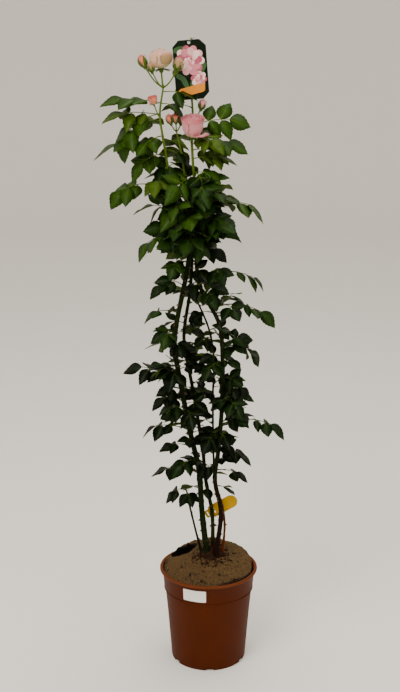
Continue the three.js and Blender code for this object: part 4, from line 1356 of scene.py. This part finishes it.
def tuft(x, y):
    """Tufts about 10 mm across, from about -1 in the hollows to 1."""
    return noise.noise(Vector((x / 7.5, y / 7.5, 1))) + 0.5 * noise.noise(Vector((x / 3.5, y / 3.5, 6)))


def mat_surface(x, y):
    """The felt's surface: lumpy, dipping to the compost in the slit and in a few small holes,
    and heaped at the back right."""
    z = mat_height(x, y) + 4 * noise.noise(Vector((x / 28, y / 28, 4))) + 2.6 * tuft(x, y)
    z += 21 * math.exp(-((x - 10) / 36) ** 2 - ((y - 52) / 27) ** 2)
    inside = in_slit(x, y)
    if inside < 1.15:
        deep = min(max((1.15 - inside) / 0.25, 0), 1)
        z += (SOIL_TOP + 6 - z) * deep * deep * (3 - 2 * deep)
    for dip_x, dip_y, size in MAT_DIPS:
        z -= 1.1 * size * math.exp(-((x - dip_x) ** 2 + (y - dip_y) ** 2) / (0.6 * size * size))
    return z


def bare(x, y):
    """Whether the compost shows here."""
    return in_slit(x, y) < 1.14 or any(math.hypot(x - dip_x, y - dip_y) < 0.7 * size
                                       for dip_x, dip_y, size in MAT_DIPS)


def add_felt():
    """The mat's pressed body. Compost shows in its slit and its holes."""
    top = [(MAT_RADIUS * i / 60, 1) for i in range(61)]
    built = lathed([*top, (MAT_RADIUS - 1.4, 0), (0, 0)], 160)
    for vert in built.verts:
        on_top = vert.co.z > 0.5
        x, y = vert.co.xy * (mat_reach(vert.co.x, vert.co.y) / MAT_RADIUS)
        vert.co = (x, y, mat_surface(x, y) if on_top else SOIL_TOP + 0.3)
    outward(built)
    for face in built.faces:
        face.material_index = int(bare(*face.calc_center_median().xy))
    shown("coir_mat_felt", mesh_of("mat", built), [COIR_FELT, COMPOST], "coir", "coir_mat")


def fibre_path(x, y, way, bend, length, lift):
    """A fibre bowed up from the mat. It ends where it would pass the rim or hang over a hole."""
    points = []
    for k in range(4):
        past_rim = math.hypot(x, y) > mat_reach(x, y) + 1.5
        if past_rim or in_slit(x, y) < 1.08 or (k < 2 and bare(x, y)):
            break
        height = lift * math.sin(math.pi * (k / 3)) + 0.1
        points.append((x, y, mat_surface(x, y) + height))
        x += length / 3 * math.cos(way)
        y += length / 3 * math.sin(way)
        way += bend * length / 3
    return points


def add_strands():
    """Loose fibres all over the mat, with painted light on its tufts and painted shade in the hollows, over
    their own browns at random.
    """
    strands = []
    draw = seeded(3001)
    for _ in range(FIBRE_COUNT):
        r, a = MAT_RADIUS * 0.98 * math.sqrt(draw()), 2 * math.pi * draw()
        x, y = r * math.cos(a), r * math.sin(a)
        way = a + math.pi / 2 + (draw() - 0.5) * 3.4
        bend = (draw() - 0.5) * 0.16
        length = 3 + 7 * draw()
        lift = 0.3 + 2 * draw() ** 3
        # Painted light and shade: paler on the tufts and darker in the hollows; the broad noise and the
        # draw are the fibres' own tone
        shade = 1.75 - 4.2 * tuft(x, y) - 1.6 * noise.noise(Vector((x / 20, y / 20, 3)))
        finish = int(min(max(shade + 0.8 * (draw() - 0.5), 0), 2))
        points = fibre_path(x, y, way, bend, length, lift)
        if len(points) > 2:
            strands.append((points, [FIBRE_RADIUS] * len(points), finish))
    shown("coir_strands", tube_mesh("coir", strands, 4), COIR_STRANDS, "coir", "coir_mat")


def add_compost():
    """The soil is shown by its own solid, which only needs its finish."""
    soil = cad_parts["soil"].data
    soil.materials.clear()
    soil.materials.append(COMPOST)


def add_label():
    """A paper label with round corners, bent round the collar."""
    width = radians(LABEL["to"] - LABEL["from"]) * COLLAR_RADIUS
    height = LABEL["high"] - LABEL["low"]
    built = bmesh.new()
    bmesh.ops.create_cube(built, size=1, matrix=Matrix.Diagonal((width, height, LABEL["thickness"], 1)))
    corners = [edge for edge in built.edges if abs(edge.verts[0].co.z - edge.verts[1].co.z) > 0.1]
    bmesh.ops.bevel(built, geom=corners, offset=1.8, segments=4, profile=0.5, affect="EDGES", material=-1)
    for i in range(1, 12):
        bmesh.ops.bisect_plane(built, geom=built.verts[:] + built.edges[:] + built.faces[:],
                               plane_co=(width * (i / 12 - 0.5), 0, 0), plane_no=(1, 0, 0))
    for vert in built.verts:
        turn = radians(LABEL["from"]) + (vert.co.x + width / 2) / COLLAR_RADIUS
        z = LABEL["low"] + height / 2 + vert.co.y
        r = COLLAR_RADIUS + COLLAR_FLARE * (z - COLLAR_FOOT) + 0.35 + vert.co.z
        vert.co = (r * math.cos(turn), r * math.sin(turn), z)
    shown("collar_label", mesh_of("label", outward(built)), [LABEL_PAPER], "white_label", "pot_label",
          smooth=False)


# The tags

def thickened(built, depth):
    """Flat faces grown along +Y into plates."""
    grown = bmesh.ops.extrude_face_region(built, geom=built.faces[:])
    bmesh.ops.translate(built, vec=(0, depth, 0),
                        verts=[item for item in grown["geom"] if isinstance(item, bmesh.types.BMVert)])
    return outward(built)


def flat_plate(outline, thickness):
    """A plate in the XZ plane: its outline seen from the front, its thickness along +Y."""
    built = bmesh.new()
    built.faces.new([built.verts.new((x, 0, z)) for x, z in outline])
    return thickened(built, thickness)


def round_outline(x, z, rx, rz, count, turn=0):
    """An oval's outline, turned about its middle."""
    c, s = math.cos(radians(turn)), math.sin(radians(turn))
    points = [(rx * math.cos(2 * math.pi * i / count), rz * math.sin(2 * math.pi * i / count))
              for i in range(count)]
    return [(x + px * c - pz * s, z + px * s + pz * c) for px, pz in points]


def printed_rosette(x, z, rings, draw):
    """Rings of petals side by side, each with a round outer edge: a list of layers, and in
    each the petals' outlines and inks."""
    layers = []
    for radius, count in rings:
        lead = 360 * draw()
        layer = []
        for k in range(count):
            edge = []
            for i in range(9):
                turn = radians(lead + 360 * (k + i / 8) / count)
                out = radius * (0.8 + 0.2 * math.sin(math.pi * i / 8) ** 0.7)
                edge.append((x + out * math.cos(turn), z + out * math.sin(turn)))
            layer.append(([(x, z), *edge], (3 * k + count) % 4))
        layers.append(layer)
    return layers


CARD_PLACE = Matrix.Translation(CARD["place"]) @ Matrix.Rotation(radians(-CARD["lean"]), 4, "Y")
# The printed design: leaves as x, z and turn, rosettes as x, z and the radius and number of
# petals in each ring, and the plain band's outline
CARD_LEAVES = [(-22, -14, 150), (-14, -25, 115), (4, -24, 60), (25, 2, 60), (-24, 42, 20)]
CARD_ROSETTES = [
    (15, -19, ((17, 8), (13, 7), (9, 6), (5, 5), (2.4, 3))),
    (-1, 19, ((31, 10), (26, 9), (21, 8), (16, 8), (11, 7), (6.5, 5), (3, 3))),
]
CARD_BAND = [(-23, -54), (22, -46), (26, -43), (27, -31), (24, -28), (-24, -37), (-28, -40), (-27, -52)]
LEAF_INK, BAND_INK = 4, 5
# Each layer of print stands this far in front of the one beneath, and is a little thinner
PRINT_STEP = 0.025
PRINT_THICKNESS = 0.02


def add_card():
    """The picture tag: a laminated card with chamfered corners and a punched hole."""
    w, h, cut = CARD["width"] / 2, CARD["height"] / 2, CARD["chamfer"]
    outline = [(-w + cut, -h), (w - cut, -h), (w, -h + cut), (w, h - cut),
               (w - cut, h), (-w + cut, h), (-w, h - cut), (-w, -h + cut)]
    blank = flat_plate(outline, -CARD["thickness"])
    punch = flat_plate(round_outline(0, h - CARD["hole_drop"], CARD["hole"], CARD["hole"], 16), -3)
    bmesh.ops.translate(punch, vec=(0, 1, 0), verts=punch.verts)
    for form in (blank, punch):
        bmesh.ops.transform(form, matrix=CARD_PLACE, verts=form.verts)
    card = cut_by(mesh_of("card", blank), punch)
    card.polygons.foreach_set("material_index", [int(abs(face.normal.y) < 0.9) for face in card.polygons])
    shown("picture_card", card, [CARD_FACE, CARD_EDGE], "printed_card", "picture_tag", smooth=False)


def add_print():
    """The card's made-up design: rosettes and leaves over a plain band."""
    draw = seeded(3201)
    layers = [[(round_outline(x, z, 13, 5.5, 12, turn), LEAF_INK)] for x, z, turn in CARD_LEAVES]
    for x, z, rings in CARD_ROSETTES:
        layers += printed_rosette(x, z, rings, draw)
    layers.append([(CARD_BAND, BAND_INK)])
    edge = CARD["width"] / 2 - 1.2
    printed = bmesh.new()
    for i, layer in enumerate(layers):
        front = -CARD["thickness"] - PRINT_STEP * (i + 1)
        for shape, ink in layer:
            points = [printed.verts.new((max(min(x, edge), -edge), front, z)) for x, z in shape]
            printed.faces.new(points).material_index = ink
    thickened(printed, PRINT_THICKNESS)
    bmesh.ops.transform(printed, matrix=CARD_PLACE, verts=printed.verts)
    shown("card_print", mesh_of("print", printed), CARD_INKS, "printed_card", "picture_tag", smooth=False)


def add_tie():
    """A thin wire ring through the card's hole and round the stem."""
    low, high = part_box("tag_tie")
    middle = (low + high) / 2 / MM
    built = bmesh.new()
    start = Matrix.Translation((TIE["radius"], 0, 0)) @ Matrix.Rotation(radians(90), 4, "X")
    section = bmesh.ops.create_circle(built, segments=10, radius=TIE["wire"], matrix=start)
    bmesh.ops.spin(built, geom=section["verts"] + built.edges[:], cent=(0, 0, 0), axis=(0, 0, 1),
                   angle=2 * math.pi, steps=40, use_merge=True)
    bmesh.ops.remove_doubles(built, verts=built.verts, dist=1e-3)
    outward(built)
    place = Matrix.Translation(middle) @ Matrix.Rotation(radians(-TIE["roll"]), 4, "Y")
    bmesh.ops.transform(built, matrix=place, verts=built.verts)
    shown("tie_ring", mesh_of("tie", built), [TIE_WIRE], "tie_wire", "tag_tie")


# The yellow tag narrows to a tab: places along it, and how far its edges have drawn in there
YELLOW_TAB = [(3, 0), (-1, 1.5), (-4, 6), (-13.5, 6.5), (-15.5, 9)]


def add_yellow_strip():
    """A strip of vinyl with a round end, a tab and two slots, behind the back cane."""
    x, y, r = cane_at(CANES["back"], YELLOW["height"])
    half = YELLOW["width"] / 2
    far = YELLOW["length"] - 2 * half
    arc = [(far + half * math.cos(radians(a)), half * math.sin(radians(a))) for a in range(-90, 91, 12)]
    tab = [(along, half - drop) for along, drop in YELLOW_TAB]
    tab += [(along, drop - half) for along, drop in reversed(YELLOW_TAB)]
    strip = flat_plate(arc + tab, -YELLOW["thickness"])
    slots = bmesh.new()
    for middle, wide, high in ((-9, 2.4, 11), (8, 2.2, 13)):
        size = Matrix.Diagonal((wide, 6, high, 1))
        bmesh.ops.create_cube(slots, size=1, matrix=Matrix.Translation((middle, 0, 0)) @ size)
    behind = y + r + CLIP_SPARE + YELLOW["clip_wall"] + YELLOW["thickness"] / 2
    place = (Matrix.Translation((x - 1, behind, YELLOW["height"] - 4))
             @ Matrix.Rotation(radians(-YELLOW["slant"]), 4, "Y"))
    for form in (strip, slots):
        bmesh.ops.transform(form, matrix=place, verts=form.verts)
    strap = cut_by(mesh_of("yellow", strip), slots)
    shown("yellow_strip", strap, [YELLOW_VINYL], "yellow_plastic", "yellow_tag", smooth=False)


def add_yellow_clip():
    """An open ring that grips the back cane and carries the strip."""
    x, y, r = cane_at(CANES["back"], YELLOW["height"])
    clip = bmesh.new()
    size = Matrix.Diagonal((YELLOW["clip_wall"], YELLOW["clip"], 1, 1))
    start = Matrix.Translation((r + CLIP_SPARE + YELLOW["clip_wall"] / 2, 0, 0))
    start = start @ Matrix.Rotation(radians(90), 4, "X") @ size
    section = bmesh.ops.create_grid(clip, x_segments=1, y_segments=1, size=0.5, matrix=start)
    bmesh.ops.delete(clip, geom=clip.faces[:], context="FACES_ONLY")
    bmesh.ops.rotate(clip, verts=section["verts"], matrix=Matrix.Rotation(radians(-20), 3, "Z"))
    bmesh.ops.spin(clip, geom=clip.verts[:] + clip.edges[:], cent=(0, 0, 0), axis=(0, 0, 1),
                   angle=radians(220), steps=22)
    bmesh.ops.holes_fill(clip, edges=[edge for edge in clip.edges if edge.is_boundary], sides=4)
    outward(clip)
    bmesh.ops.translate(clip, vec=(x, y, YELLOW["height"]), verts=clip.verts)
    shown("yellow_clip", mesh_of("clip", clip), [YELLOW_VINYL], "yellow_plastic", "yellow_tag",
          smooth=False)


# The studio

def add_floor():
    """A pale floor that curves up into a round wall, in millimetres like the plant."""
    bend = [(6500 + 1500 * math.sin(radians(a)), 1500 - 1500 * math.cos(radians(a)))
            for a in range(0, 91, 10)]
    mesh = mesh_of("floor", outward(lathed([(0, 0), (2000, 0), *bend, (8000, 6000)], 96)))
    mesh.polygons.foreach_set("use_smooth", [True] * len(mesh.polygons))
    # Matt white paint, so the floor shows only soft shadows
    mesh.materials.append(new_finish("studio_floor", "#f8f6f2", 0.9))
    floor = linked("floor", mesh)


def add_lights():
    """Broad soft lights, a little warm: places and aims in metres."""
    for name, place, aim, size, power in (
        ("key", (-1.2, -2.0, 3.2), (0, 0, 0.8), 1.6, 80),
        ("fill", (2.2, -2.4, 1.8), (0, 0, 0.7), 2.0, 20),
        ("top", (0.4, 0.6, 3.4), (0, 0, 0.8), 1.8, 40),
    ):
        light = bpy.data.lights.new(name, "AREA")
        light.size = size
        light.energy = power
        light.color = (1, 0.95, 0.87)
        lamp = linked(name, light)
        lamp.location = place
        lamp.rotation_euler = (Vector(aim) - Vector(place)).to_track_quat("-Z", "Y").to_euler()


def add_sky():
    """An even warm white light from all round."""
    world = bpy.data.worlds.new("studio")
    world.use_nodes = True
    sky = world.node_tree.nodes["Background"]
    sky.inputs["Color"].default_value = linear("#f4ede1")
    sky.inputs["Strength"].default_value = 0.88
    bpy.context.scene.world = world


add_floor()
add_lights()
add_sky()
add_pot()
add_felt()
add_strands()
add_compost()
add_label()
add_union()
add_crumbs()
add_canes()
grow_sprays()
grow_spurs()
grow_shoots()
add_foliage()
add_card()
add_print()
add_tie()
add_yellow_strip()
add_yellow_clip()
